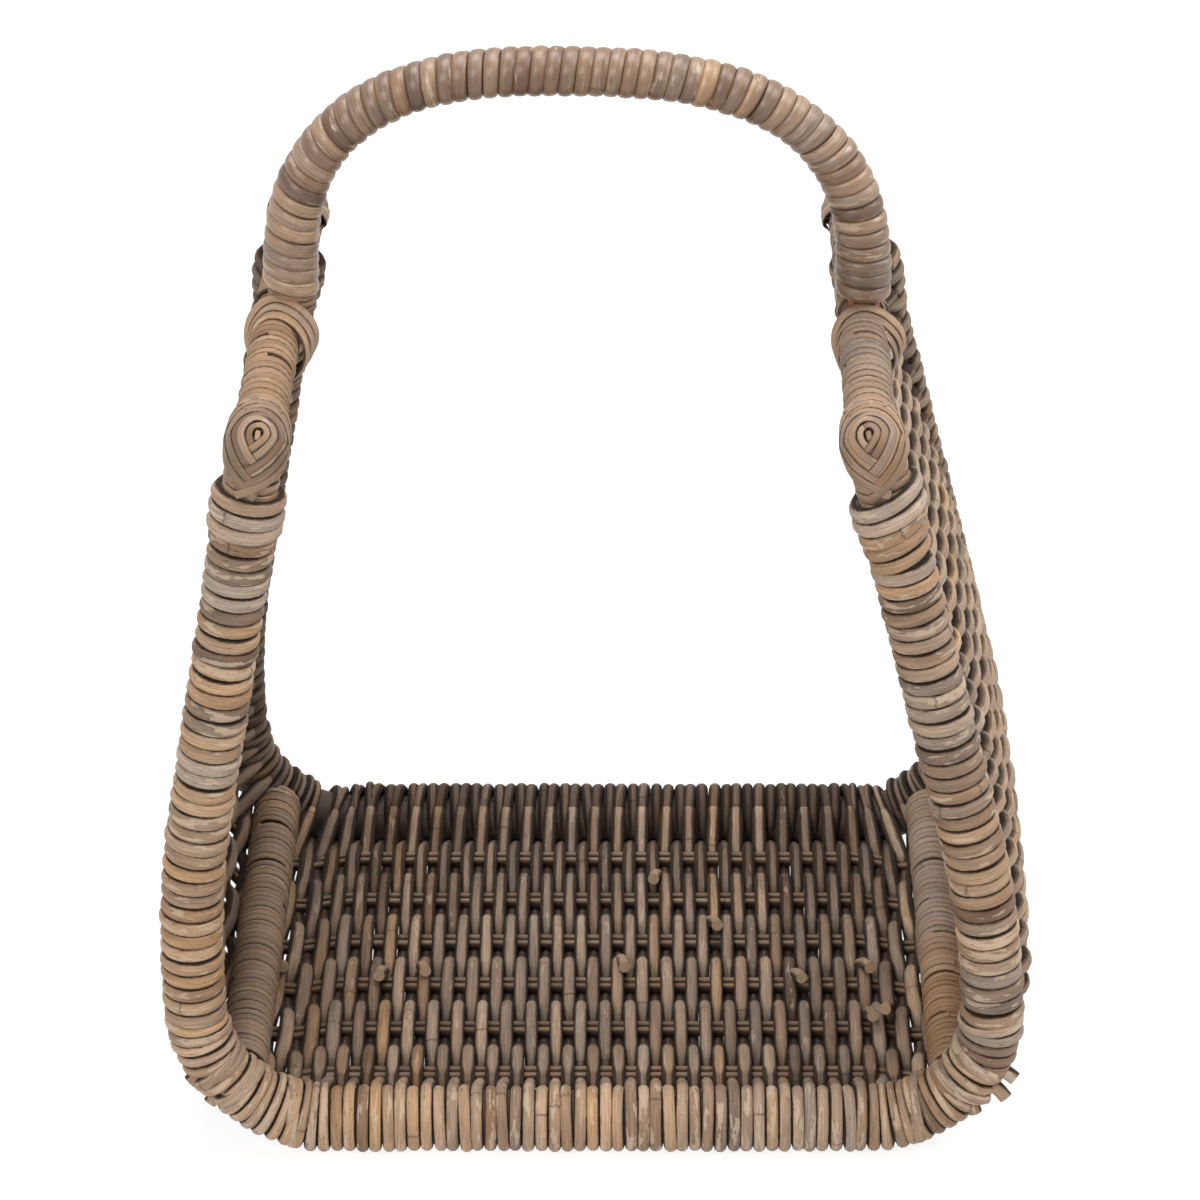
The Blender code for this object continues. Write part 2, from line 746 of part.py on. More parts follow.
def make_stakes(shop):
    """Flat stakes that run down one side, under the corner poles and up the other side."""
    for number in range(STAKE_COUNT):
        name = f"stake_{number + 1}"
        shares = stake_shares(number, STAKE_WIDTH)
        mesh = sheet_mesh(name, stake_stations(), shares, (0.0, 1.0))
        thicken(shop.piece(name, mesh, "stake"), STAKE_THICKNESS)


# Handle


def handle_foot(side):
    """The middle of a top bar, and how far inside it the handle's foot stands."""
    start, finish = bar_ends(side)
    return (start + finish) / 2, -side * FOOT_INSET[side]


def arch_points():
    """A dense superellipse between the feet, with its straight legs."""
    feet = {}
    for side in (LEFT, RIGHT):
        middle, inset = handle_foot(side)
        feet[side] = middle + Vector((inset, 0, 0))
    centre = (feet[LEFT] + feet[RIGHT]) / 2
    half_span = (feet[RIGHT] - feet[LEFT]).x / 2
    spring = BAR_HEIGHT + HANDLE_SPRING_HEIGHT
    rise = HANDLE_HEIGHT - spring
    points = [feet[LEFT]]
    for step in range(ARCH_SAMPLES + 1):
        angle = math.pi * (1 - step / ARCH_SAMPLES)
        across, up = math.cos(angle), max(math.sin(angle), 0)
        x = half_span * math.copysign(abs(across) ** HANDLE_CURVE_SHARE, across)
        z = rise * up ** HANDLE_CURVE_SHARE
        z -= HANDLE_TILT_SHARE * x * z / rise
        points.append(Vector((centre.x + x, centre.y, spring + z)))
    return points + [feet[RIGHT]]


def along_arch(points, distances):
    """Points of a dense path at the given distances from its start."""
    found = []
    gone = 0.0
    index = 0
    for distance in distances:
        while index < len(points) - 2 and gone + (points[index + 1] - points[index]).length < distance:
            gone += (points[index + 1] - points[index]).length
            index += 1
        step = points[index + 1] - points[index]
        share = min((distance - gone) / step.length, 1.0) if step.length else 0.0
        found.append(points[index] + step * share)
    return found


def handle_wrap_radius(height):
    """Radius over the handle's wraps, which are thicker at its feet."""
    share = (height - BAR_HEIGHT - HANDLE_SPRING_HEIGHT) / (HANDLE_HEIGHT - BAR_HEIGHT)
    return blend(HANDLE_FOOT_WRAP_RADIUS, HANDLE_TOP_WRAP_RADIUS, share / HANDLE_TAPER_SHARE)


def make_handle(shop, bar_rooms):
    """The bent handle pole, mouthed onto the bars, and the wraps round it."""
    arch = arch_points()
    total = sum((second - first).length for first, second in zip(arch, arch[1:]))
    core = along_arch(arch, [total * step / HANDLE_STEPS for step in range(HANDLE_STEPS + 1)])
    radii = [HANDLE_POLE_RADIUS] * len(core)
    pole_mesh = tube_mesh("handle_pole", core, radii, RIB_RESOLUTION)
    pole = shop.piece("handle_pole", pole_mesh, "pole")
    shop.cut(pole, *bar_rooms.values())
    length = total - 2 * HANDLE_WRAP_START
    wraps = round(length / HANDLE_WRAP_WIDTH)
    steps = range(2 * wraps + 1)
    places = along_arch(arch, [HANDLE_WRAP_START + length * step / (2 * wraps) for step in steps])
    grooves = [HANDLE_GROOVE_DEPTH * ((step + 1) % 2) for step in steps]
    radii = [handle_wrap_radius(place.z) - groove for place, groove in zip(places, grooves)]
    mesh = tube_mesh("handle_binding", places, radii, RIB_RESOLUTION)
    binding = shop.piece("handle_binding", mesh, "handle")
    radii = [HANDLE_POLE_RADIUS + CLEARANCE] * len(core)
    bore = tube_mesh("handle_bore", core, radii, RIB_RESOLUTION)
    return shop.cut(binding, shop.cutter(bore.name, bore))


def lashing_ring_mesh(name, half_span, lean, layer=0.0):
    """A flattened ring round the bar and the handle's foot, snug under the bar."""
    thickness = LASHING_THICKNESS / 2
    middle = half_span + thickness + layer - LASHING_BITE
    bpy.ops.mesh.primitive_torus_add(
        major_radius=middle, minor_radius=thickness, major_segments=RING_STEPS, minor_segments=RING_SIDES
    )
    ring = bpy.context.active_object
    mesh = ring.data
    above = (LASHING_REACH + thickness + layer) / middle
    below = (BAR_RADIUS / math.cos(LASHING_TILT) + thickness + layer) / middle
    widen = LASHING_BAND_WIDTH / LASHING_THICKNESS
    for vert in mesh.vertices:
        vert.co.y *= above if vert.co.y > 0 else below
        vert.co.z *= widen
    mesh.transform(Matrix.Rotation(lean, 4, "X"))
    bpy.data.objects.remove(ring)
    mesh.name = name
    return mesh


def make_lashing(shop, side, bar_room):
    """Two crossed bands that tie a foot of the handle to its bar."""
    name = f"{SIDE_NAMES[side]}_handle_lashing"
    middle, inset = handle_foot(side)
    half_span, shift = lashing_span(side)
    place = Matrix.Translation(middle + Vector((shift, 0, 0)))
    lashing = shop.piece(name, lashing_ring_mesh(name, half_span, LASHING_TILT), "peel")
    lashing.matrix_local = place
    over = lashing_ring_mesh(f"{name}_over", half_span, math.pi - LASHING_TILT, LASHING_LAYER)
    crossing = shop.cutter(over.name, over)
    crossing.matrix_local = place
    shop.cut(lashing, crossing, operation="UNION")
    foot = middle + Vector((inset, 0, 0))
    leg_top = foot + Vector((0, 0, HANDLE_SPRING_HEIGHT + CUT_OVERRUN))
    leg = rod_mesh(f"{name}_leg_room", foot, leg_top, HANDLE_POLE_RADIUS + CLEARANCE, CLEARANCE)
    wrap_bottom = foot + Vector((0, 0, HANDLE_WRAP_START - CLEARANCE))
    radius = HANDLE_FOOT_WRAP_RADIUS + CLEARANCE
    wraps = rod_mesh(f"{name}_wrap_room", wrap_bottom, leg_top, radius)
    return shop.cut(
        lashing, bar_room, shop.cutter(leg.name, leg), shop.cutter(wraps.name, wraps)
    )


def stand_over_origin(shop):
    """Moves the basket so that its bounding box stands centred over the origin."""
    bpy.context.view_layer.update()
    graph = bpy.context.evaluated_depsgraph_get()
    corners = []
    for piece in shop.pieces.objects:
        if piece.type == "MESH":
            evaluated = piece.evaluated_get(graph)
            corners += [evaluated.matrix_world @ vert.co for vert in evaluated.data.vertices]
    lows = [min(corner[axis] for corner in corners) for axis in range(2)]
    highs = [max(corner[axis] for corner in corners) for axis in range(2)]
    shop.root.location = (-(lows[0] + highs[0]) / 2, -(lows[1] + highs[1]) / 2, 0)


def main():
    """Clears the scene and builds the basket."""
    for old in list(bpy.data.objects):
        bpy.data.objects.remove(old)
    shop = Workshop()
    bar_rooms = {side: bar_cutter(shop, side) for side in (LEFT, RIGHT)}
    rim_rooms = {end: rim_room(shop, end) for end in (FRONT, BACK)}
    rooms = stake_rooms(shop)
    for end in (FRONT, BACK):
        make_frame_pole(shop, end, bar_rooms)
        make_rim_binding(shop, end)
    for side in (LEFT, RIGHT):
        make_corner(shop, side, rim_rooms)
        make_top_bar(shop, side)
        make_side_weave(shop, side, rooms)
        make_lashing(shop, side, bar_rooms[side])
        for end in (FRONT, BACK):
            make_bar_binding(shop, side, end)
            make_cap(shop, side, end, bar_rooms[side])
    make_floor_weave(shop, rooms)
    make_stakes(shop)
    make_handle(shop, bar_rooms)
    stand_over_origin(shop)


main()
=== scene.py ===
import math

import bpy
import numpy as np
from bpy.props import FloatProperty, FloatVectorProperty, PointerProperty
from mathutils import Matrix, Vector


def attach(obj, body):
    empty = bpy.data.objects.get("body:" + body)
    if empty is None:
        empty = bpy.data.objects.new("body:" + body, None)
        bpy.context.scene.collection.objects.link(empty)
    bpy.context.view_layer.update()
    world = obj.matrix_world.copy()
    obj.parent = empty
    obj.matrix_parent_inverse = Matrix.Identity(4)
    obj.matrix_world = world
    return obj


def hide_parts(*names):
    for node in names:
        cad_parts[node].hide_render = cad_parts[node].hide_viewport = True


bl_info = {
    "name": "Rattan Trug",
    "version": (1, 0, 0),
    "blender": (4, 5, 0),
    "location": "3D View > Sidebar > Trug",
    "description": "Winds, laces and weaves a rattan trug over its solid model",
    "category": "Object",
}

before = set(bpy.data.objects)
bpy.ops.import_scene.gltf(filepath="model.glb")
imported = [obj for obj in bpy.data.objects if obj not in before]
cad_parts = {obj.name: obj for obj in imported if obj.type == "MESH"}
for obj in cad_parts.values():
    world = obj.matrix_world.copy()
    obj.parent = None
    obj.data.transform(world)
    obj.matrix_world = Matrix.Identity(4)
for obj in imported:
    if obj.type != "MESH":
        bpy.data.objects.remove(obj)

# ---------------------------------------------------------------- the basket's lines, in metres

# A station says how far along the U-shaped outline a point lies, below 0 on the left: 0 is the
# middle of the floor, 1 to 2 a bottom corner, 2 to 3 the riser, 3 to 4 the bend, 5 the top bar.

LEFT, RIGHT = -1, 1
FRONT, BACK = -1, 1
SIDE_NAMES = {LEFT: "left", RIGHT: "right"}
END_NAMES = {FRONT: "front", BACK: "back"}

CORNER_MIDDLE = 1.5
FLOOR_EDGE = 1.6
SIDE_START = 2
BEND_TOP = 4
TOP_STATION = 5

# The frame poles and how they lean
MODEL_SHIFT = 0.001029
HALF_WIDTH = 0.1822
BACK_LEFT_TUCK = 0.0055
FLOOR_DEPTH = 0.250
TOP_DEPTH = 0.217
BAR_HEIGHT = 0.364
RIM_HEIGHT = 0.014836
CORNER_RADIUS = 0.056
RISER_LENGTH = 0.0035
SIDE_BEND_RADIUS = 0.460
SIDE_LEAN = math.radians(11.7)
SIDEWAYS_LEAN_SHARE = -0.040
END_LEAN_SHARE = (FLOOR_DEPTH - TOP_DEPTH) / 2 / (BAR_HEIGHT - RIM_HEIGHT)
LEFT_UPRIGHT_BOW = 0.0017
RAIL_SAMPLES = 600
STRAIGHT_RAIL_SAMPLES = 40

# Radii over the windings, and the poles inside them
FLOOR_WRAP_RADIUS = 0.0161
SIDE_WRAP_RADIUS = 0.0148
CORNER_POLE_INSET = 0.0015
CORNER_WINDING_RADIUS = 0.0116
CORNER_WINDING_INSET = 0.013
CORNER_SPACINGS = (1.0, 0.9, 1.1, 0.95, 1.0, 1.05, 0.9)
BAR_WINDING_RADIUS = 0.0113
BAR_WINDING_INSET = 0.012
BAR_WINDING_GAP = 0.009
BAR_OVERHANG = 0.0143
BAR_TONES = {LEFT: (0.38, 0.7), RIGHT: (0.34, 0.2)}
BAR_SPACINGS = {LEFT: (0.9, 1.2, 1.2, 0.9, 0.42), RIGHT: (1.0, 1.3, 1.3, 1.2, 1.0)}
CORE_DEPTH = 0.0036
CORE_INSET = 0.006
BAR_CORE_DEPTH = 0.0016
BAR_CORE_INSET = 0.008

# The cradle's middle surface, off the poles' middle lines
FLOOR_WEAVE_OFFSET = 0.0006
CORNER_WEAVE_OFFSET = 0.0134
CORNER_SWING_SHARE = 0.40
SIDE_WEAVE_OFFSET = {LEFT: 0.0018, RIGHT: 0.0060}
BULGE = {LEFT: 0.0032, RIGHT: 0.0048}
TOP_WEAVE_OFFSET = 0.0003
STAKE_COUNT = 6
STAKE_TOP_GAP = 0.035
STAKE_SPREAD = 1.04
PULL_IN_SHARE = 0.0664

# How far a strand may reach sideways and to the front or back, and how near to the ground
REACH = (0.20205, 0.14065)
REACH_MARGIN = 1.12
GROUND_GAP = 0.0002

# A weaver's wave over and under the stakes
WAVE_STEEPNESS = 2.1
WAVE_SAMPLES = 8
HEIGHT_RANGE = (0.92, 1.06)
TOP_FLATTENING = 0.6
CORNER_FLATTENING = 0.4
SWAY = 0.00022
CORNER_WIDENING = 0.28
SIDE_WIDENING = 1.08
STRAND_SIDES = 10

# Where along a wave, in stake spacings from the front, a weaver lies deep, and how deep, which sets
# its painted shade there
HOLLOW_PLACES = (0, 0.40, 0.72, 1.0, 1.55, 1.64, 2)
HOLLOW_DEPTHS = (0, 0, 0.75, 1.0, 1.0, 0, 0)
# Painted shade that darkens the floor's weavers towards the back: how dark at most, where it
# starts, over what distance
BACK_SHADE, BACK_SHADE_START, BACK_SHADE_RUN = 0.80, -0.02, 0.12
# Depth, as painted shade, beside the front rim and beside the back rim, for a weaver that ends
# inside or outside; then on its turn round the back rim, a share of that along the floor and a
# fixed depth up the sides
INSIDE_DEPTHS = (0.15, 0.8)
OUTSIDE_DEPTHS = (0.7, 0.5)
BACK_TURN_DEPTH_SHARE = 0.7
SIDE_TURN_DEPTH = 0.1

# A weaver's turn round a rim
TURN_SAMPLES = 20
INSIDE_TURN, OUTSIDE_TURN = math.radians(272), math.radians(325)
UNDER_CAP_RISE = 0.0026
CORNER_TUCK = 0.0022
CORNER_LIFT = 0.0014
TIP_TUCK = 0.0022
UNDER_TUCK = 0.0024
BACK_RIM_RISE = 0.0030
BACK_LEAN_PLACES = (-0.13, -0.06, 0.0, 0.07, 0.13)
BACK_LEANS = (0.0065, 0.0038, 0.0028, 0.0015, -0.0040)
BACK_LEAN_EDGE = 1.3
CROSSING_SLANT = 0.28
CROSSING_START = 4.72
RUN_SHARES = (0.2, 0.4, 0.6, 0.8)

# The handle
HANDLE_HEIGHT = 0.4882
HANDLE_SPRING = 0.020
HANDLE_SQUARENESS = 2.65
HANDLE_TILT_SHARE = 0.020
HANDLE_FOOT_RADIUS = 0.0132
HANDLE_TOP_RADIUS = 0.0111
HANDLE_HALF_TURN = math.pi + 0.3
HANDLE_TUCK = 0.0014
FOOT_INSET = {LEFT: 0.0067, RIGHT: 0.0003}
FOOT_STEP = {LEFT: 0.0110, RIGHT: 0.0}

# The caps and the lashings
CAP_RADIUS = 0.0121
CAP_EYE_ANGLE = math.radians(47)
CAP_FORWARD = 0.0028
CAP_TONES = {LEFT: 0.31, RIGHT: 0.42}
CAP_SKIRT = (0.002, 0.031)
CAP_SKIRT_RISE = 0.0004
LASHING_TOPS = {LEFT: 0.0175, RIGHT: 0.0130}
LASHING_LOW = 0.0130
LASHING_STEPS = (0.0100, 0.0255)

STAGE_REACH = 8.0

# ---------------------------------------------------------------- given tables

# Height on a front upright, tone and warmth of the turns there
UPRIGHT_TONES = {
    LEFT: ((0.340, 0.68, 0.45), (0.332, 0.66, 0.05), (0.324, 0.76, 0.02), (0.316, 0.20, 0.45),
           (0.308, 0.38, 0.35), (0.299, 0.68, 0.12), (0.290, 0.82, 0.05), (0.282, 0.16, 0.25),
           (0.275, 0.48, 0.90), (0.268, 0.62, 0.78), (0.261, 0.16, 0.30), (0.254, 0.60, 0.85),
           (0.247, 0.74, 0.70), (0.240, 0.62, 0.72), (0.231, 0.38, 0.40), (0.223, 0.68, 0.70),
           (0.216, 0.44, 0.50), (0.208, 0.70, 0.10), (0.201, 0.70, 0.10), (0.191, 0.68, 0.68),
           (0.178, 0.50, 0.20), (0.169, 0.55, 0.45), (0.162, 0.46, 0.40), (0.151, 0.64, 0.78)),
    RIGHT: ((0.338, 0.82, 0.10), (0.330, 0.80, 0.12), (0.321, 0.50, 0.80), (0.313, 0.58, 0.72),
            (0.305, 0.68, 0.15), (0.297, 0.60, 0.72), (0.288, 0.20, 0.55), (0.281, 0.40, 0.55),
            (0.273, 0.50, 0.30), (0.265, 0.40, 0.35), (0.257, 0.55, 0.25)),
}
UPRIGHT_TONE_REACH = 0.006

# Tone and warmth of the corner windings, stretch by stretch from the front
CORNER_SHADES = {
    LEFT: ((0.56, 0.30), (0.54, 0.35), (0.50, 0.40), (0.52, 0.45), (0.48, 0.45), (0.46, 0.50),
           (0.44, 0.45)),
    RIGHT: ((0.40, 0.85), (0.44, 0.90), (0.52, 0.60), (0.62, 0.12), (0.60, 0.10), (0.58, 0.15),
            (0.50, 0.30)),
}

# Station, slant, how far they stand proud, first and last angle, tone and warmth of stray turns
STRAY_TURNS = (
    (-1.22, 0.012, 0.0030, 200, -35, 0.62, 0.35), (-1.50, -0.010, 0.0032, 190, -20, 0.70, 0.20),
    (-1.72, 0.009, 0.0028, 180, -42, 0.55, 0.45), (1.30, -0.014, 0.0034, 205, -30, 0.48, 0.35),
    (1.52, 0.012, 0.0030, 195, -45, 0.52, 0.30), (1.78, -0.011, 0.0034, 190, -25, 0.66, 0.25),
)
STRAY_SAMPLES = 18
STRAY_HALF_WIDTH = 0.0033
STRAY_SUNK = 0.004

# Place of the tip, sideways lean, drop, tone and warmth of the ends that hang off the corners
LOOSE_ENDS = (
    (-0.1870, -0.1320, 0.0400, -0.9, 0.35, 0.50, 0.45),
    (-0.1780, -0.1330, 0.0290, -0.7, 0.55, 0.66, 0.30),
    (-0.1725, -0.1345, 0.0360, -0.6, 0.40, 0.58, 0.60),
    (0.1920, -0.1310, 0.0410, 0.8, 0.20, 0.42, 0.35),
    (0.1880, -0.1320, 0.0310, 0.7, 0.45, 0.46, 0.45),
    (0.1740, -0.1340, 0.0240, 0.4, 0.80, 0.40, 0.40),
)
LOOSE_END_LENGTH = 0.0115
LOOSE_END_FORWARD = 0.35

# Place, height over the frame's middle, length, slant, tone and warmth of the floor's cut ends
CUT_ENDS = (
    (-0.1040, -0.0278, 0.0115, 0.016, -0.10, 0.62, 0.40),
    (-0.0820, -0.0240, 0.0115, 0.016, 0.15, 0.60, 0.40),
    (0.0276, 0.0560, 0.0105, 0.015, -0.15, 0.50, 0.30),
    (0.0582, 0.0145, 0.0115, 0.016, 0.20, 0.60, 0.40),
    (0.0132, -0.0200, 0.0110, 0.018, 0.10, 0.52, 0.50),
    (0.0975, -0.0304, 0.0120, 0.016, 0.25, 0.60, 0.45),
    (0.1305, -0.0213, 0.0115, 0.015, 0.30, 0.58, 0.45),
    (0.1360, -0.0580, 0.0135, 0.015, -0.20, 0.58, 0.45),
    (0.1300, -0.0632, 0.0130, 0.017, 0.10, 0.50, 0.40),
    (-0.1500, -0.0230, 0.0135, 0.013, 0.10, 0.50, 0.40),
)
CUT_END_THINNING = 0.86
CUT_END_SUNK = 0.003

# Half width, height above the eye and depth of the point below it, for each band of a cap
CAP_BANDS = (
    (0.0036, 0.0040, 0.0060), (0.0072, 0.0080, 0.0112), (0.0106, 0.0115, 0.0165),
    (0.0140, 0.0150, 0.0205), (0.0174, 0.0186, 0.0233), (0.0208, 0.0222, 0.0254),
    (0.0243, 0.0258, 0.0268),
)
BAND_TIP_STRIDES = (0.0015, 0.0030, 0.0048)

# End, distance from the foot, drop, layer, and how far a loop bows out on the left and the right
LASHING_LOOPS = (
    (FRONT, 0.0000, 0.0000, 0, 1.08, 1.46), (FRONT, 0.0032, 0.0030, 1, 1.00, 1.30),
    (FRONT, 0.0066, 0.0058, 2, 0.92, 1.10), (BACK, 0.0000, 0.0050, 0, 0.84, 0.92),
    (BACK, 0.0032, 0.0080, 1, 0.80, 0.88),
)


# ---------------------------------------------------------------- points, directions and shares


def smooth(share):
    """Eases a share from 0 to 1."""
    share = min(max(share, 0.0), 1.0)
    return share * share * (3 - 2 * share)


def blend(first, second, share):
    """The value between two others, eased at both ends."""
    return first + (second - first) * smooth(share)


def unit(vectors):
    """Vectors of length one, one to a row."""
    vectors = np.asarray(vectors, dtype=float)
    return vectors / np.maximum(np.linalg.norm(vectors, axis=-1, keepdims=True), 1e-12)


def stretch_lengths(width):
    """Lengths of the five stretches from the middle of the floor up to the top bar."""
    bend_top = RIM_HEIGHT + CORNER_RADIUS + RISER_LENGTH + SIDE_BEND_RADIUS * math.sin(SIDE_LEAN)
    return (
        width - CORNER_RADIUS,
        CORNER_RADIUS * math.pi / 2,
        RISER_LENGTH,
        SIDE_BEND_RADIUS * SIDE_LEAN,
        (BAR_HEIGHT - bend_top) / math.cos(SIDE_LEAN),
    )


def outline(station, width):
    """Half of the U-shaped outline: a point (x, z) and the outward direction there."""
    lengths = stretch_lengths(width)
    stretch = min(int(station), TOP_STATION - 1)
    share = station - stretch
    if stretch == 0:
        return np.array((share * lengths[0], RIM_HEIGHT)), np.array((0.0, -1.0))
    if stretch == 1:
        angle = share * math.pi / 2
        outward = np.array((math.sin(angle), -math.cos(angle)))
        return np.array((lengths[0], RIM_HEIGHT + CORNER_RADIUS)) + outward * CORNER_RADIUS, outward
    corner_top = RIM_HEIGHT + CORNER_RADIUS
    if stretch == 2:
        return np.array((width, corner_top + share * RISER_LENGTH)), np.array((1.0, 0.0))
    angle = SIDE_LEAN * (share if stretch == 3 else 1)
    outward = np.array((math.cos(angle), math.sin(angle)))
    centre = np.array((width - SIDE_BEND_RADIUS, corner_top + RISER_LENGTH))
    point = centre + outward * SIDE_BEND_RADIUS
    if stretch == 4:
        point = point + np.array((-outward[1], outward[0])) * share * lengths[4]
    return point, outward


def side_of(station):
    """Which half of the basket a signed station lies in."""
    return LEFT if station < 0 else RIGHT


def frame_point(side, end, station, offset=0.0):
    """A point on a frame pole's middle line, or off it by an outward offset."""
    width = HALF_WIDTH - (BACK_LEFT_TUCK if (side, end) == (LEFT, BACK) else 0.0)
    point, outward = outline(station, width)
    point = point + outward * offset
    height = point[1] - RIM_HEIGHT
    x = side * point[0] + SIDEWAYS_LEAN_SHARE * height + MODEL_SHIFT
    if (side, end) == (LEFT, FRONT):
        x -= LEFT_UPRIGHT_BOW * smooth((height - 0.06) / 0.12)
    return np.array((x, end * (FLOOR_DEPTH / 2 - END_LEAN_SHARE * height), point[1]))


def outward_at(station):
    """The outward direction of the cradle at a signed station."""
    _, outward = outline(abs(station), HALF_WIDTH)
    return np.array((side_of(station) * outward[0], 0.0, outward[1]))


def distance_to(station):
    """How far along the outline a station lies from the middle of the floor."""
    lengths = stretch_lengths(HALF_WIDTH)
    whole = min(int(station), TOP_STATION - 1)
    return sum(lengths[:whole]) + (station - whole) * lengths[whole]


def shares_of(values):
    """Evenly growing shares from 0 to 1, one for each value."""
    return np.linspace(0, 1, len(values))


def around(angles, first, second):
    """Directions at angles about a middle line, from one way towards another."""
    return np.cos(angles)[:, None] * first + np.sin(angles)[:, None] * second


def drawn(chance, middle, spread, low=0.0, high=1.0):
    """A number drawn about a middle and kept between two limits."""
    return float(np.clip(chance.normal(middle, spread), low, high))


def near_corner(station, middle, spread):
    """1 at a station of a bottom corner, easing to 0 at a spread before and after it."""
    return smooth(1 - abs(abs(station) - middle) / spread)


def climb_share(station):
    """How far up a station lies between the middle of a corner and the top of a side's bend."""
    low, high = distance_to(CORNER_MIDDLE), distance_to(BEND_TOP)
    return (distance_to(station) - low) / (high - low)


def weave_offset(side, station, across):
    """How far the cradle's middle lies outside the frame poles' middle lines."""
    beside = SIDE_WEAVE_OFFSET[side] + BULGE[side] * 4 * across * (1 - across)
    if station < CORNER_MIDDLE:
        return blend(FLOOR_WEAVE_OFFSET, CORNER_WEAVE_OFFSET, (station - 1) / CORNER_SWING_SHARE)
    if station < BEND_TOP:
        return blend(CORNER_WEAVE_OFFSET, beside, climb_share(station))
    return blend(beside, TOP_WEAVE_OFFSET, station - BEND_TOP)


def weave_point(station, across):
    """A point on the cradle's middle surface; across runs from the front pole to the back one."""
    side = side_of(station)
    offset = weave_offset(side, abs(station), across)
    front = frame_point(side, FRONT, abs(station), offset)
    back = frame_point(side, BACK, abs(station), offset)
    return front + (back - front) * across


def stake_share(number):
    """Where a stake's middle crosses a weaver, as a share of the way from front to back."""
    return PULL_IN_SHARE + (1 - 2 * PULL_IN_SHARE) * (number + 0.5) / STAKE_COUNT


def wrap_radius(station):
    """Radius over the rim's wraps, which are fuller along the floor."""
    return blend(FLOOR_WRAP_RADIUS, SIDE_WRAP_RADIUS, abs(station) - 1)


def bar_ends(side):
    """Both tips of a top bar."""
    front = frame_point(side, FRONT, TOP_STATION)
    back = frame_point(side, BACK, TOP_STATION)
    along = unit(back - front) * BAR_OVERHANG
    return front - along, back + along


def handle_foot(side):
    """Where a foot of the handle stands in its bar."""
    start, finish = bar_ends(side)
    return (start + finish) / 2 + np.array((-side * FOOT_INSET[side], 0.0, 0.0))


class Rail:
    """A pole's middle line, walked by length, with the way that counts as outward."""

    def __init__(self, points, outward, stations=None):
        self.points = np.asarray(points, dtype=float)
        steps = np.linalg.norm(np.diff(self.points, axis=0), axis=1)
        self.walks = np.concatenate(([0.0], np.cumsum(steps)))
        self.length = self.walks[-1]
        along = unit(np.gradient(self.points, axis=0))
        outward = np.broadcast_to(np.asarray(outward, dtype=float), self.points.shape)
        outward = unit(outward - (outward * along).sum(axis=1, keepdims=True) * along)
        self.along, self.outward = along, outward
        turn = np.gradient(along, axis=0) / np.maximum(np.gradient(self.walks), 1e-9)[:, None]
        self.curving = -(turn * outward).sum(axis=1)
        self.stations = np.zeros(len(self.points)) if stations is None else np.asarray(stations)

    def _read(self, table, walk):
        return np.stack([np.interp(walk, self.walks, table[:, axis]) for axis in range(3)], axis=-1)

    def place(self, walk):
        """Point, direction along, outward and sideways at a walk, or at many."""
        along = unit(self._read(self.along, walk))
        outward = unit(self._read(self.outward, walk))
        return self._read(self.points, walk), along, outward, np.cross(outward, along)

    def station(self, walk):
        """The signed station at a walk."""
        return float(np.interp(walk, self.walks, self.stations))

    def walk_at(self, station):
        """The walk at a signed station."""
        return float(np.interp(station, self.stations, self.walks))

    def curve_at(self, walk):
        """How sharply the rail bends away from its outward side at a walk."""
        return float(np.interp(walk, self.walks, self.curving))


def frame_rail(end):
    """The middle line of a frame pole, from the left bar round to the right one."""
    stations = np.linspace(-TOP_STATION, TOP_STATION, RAIL_SAMPLES)
    points = [frame_point(side_of(station), end, abs(station)) for station in stations]
    return Rail(points, [outward_at(station) for station in stations], stations)


def straight_rail(start, finish):
    """A straight pole's middle line, whose outward side is its upper one."""
    shares = np.linspace(0, 1, STRAIGHT_RAIL_SAMPLES)
    return Rail([start + (finish - start) * share for share in shares], (0, 0, 1))


def bar_rail(side):
    """The middle line of a top bar, from its front tip to its back one."""
    return straight_rail(*bar_ends(side))


def corner_rail(side):
    """The middle line of the pole along a bottom corner."""
    return straight_rail(*(frame_point(side, end, CORNER_MIDDLE, -CORNER_POLE_INSET)
                           for end in (FRONT, BACK)))


def handle_rail():
    """The middle line of the handle, from its left foot to its right one."""
    feet = {side: handle_foot(side) for side in (LEFT, RIGHT)}
    centre = (feet[LEFT] + feet[RIGHT]) / 2
    half_span = (feet[RIGHT] - feet[LEFT])[0] / 2
    spring = BAR_HEIGHT + HANDLE_SPRING
    rise = HANDLE_HEIGHT - spring
    power = 2 / HANDLE_SQUARENESS
    points = [feet[LEFT]]
    for angle in np.linspace(math.pi, 0, 400):
        across, up = math.cos(angle), max(math.sin(angle), 0.0)
        x = half_span * math.copysign(abs(across) ** power, across)
        z = rise * up ** power
        z -= HANDLE_TILT_SHARE * x * z / rise
        points.append(np.array((centre[0] + x, centre[1], spring + z)))
    points.append(feet[RIGHT])
    coarse = Rail(points, (0, 0, 1))
    points = coarse.place(np.linspace(0, coarse.length, 300))[0]
    along = unit(np.gradient(points, axis=0))
    outward = np.stack((-along[:, 2], np.zeros(len(along)), along[:, 0]), axis=1)
    return Rail(points, outward)


# ---------------------------------------------------------------- strands of cane


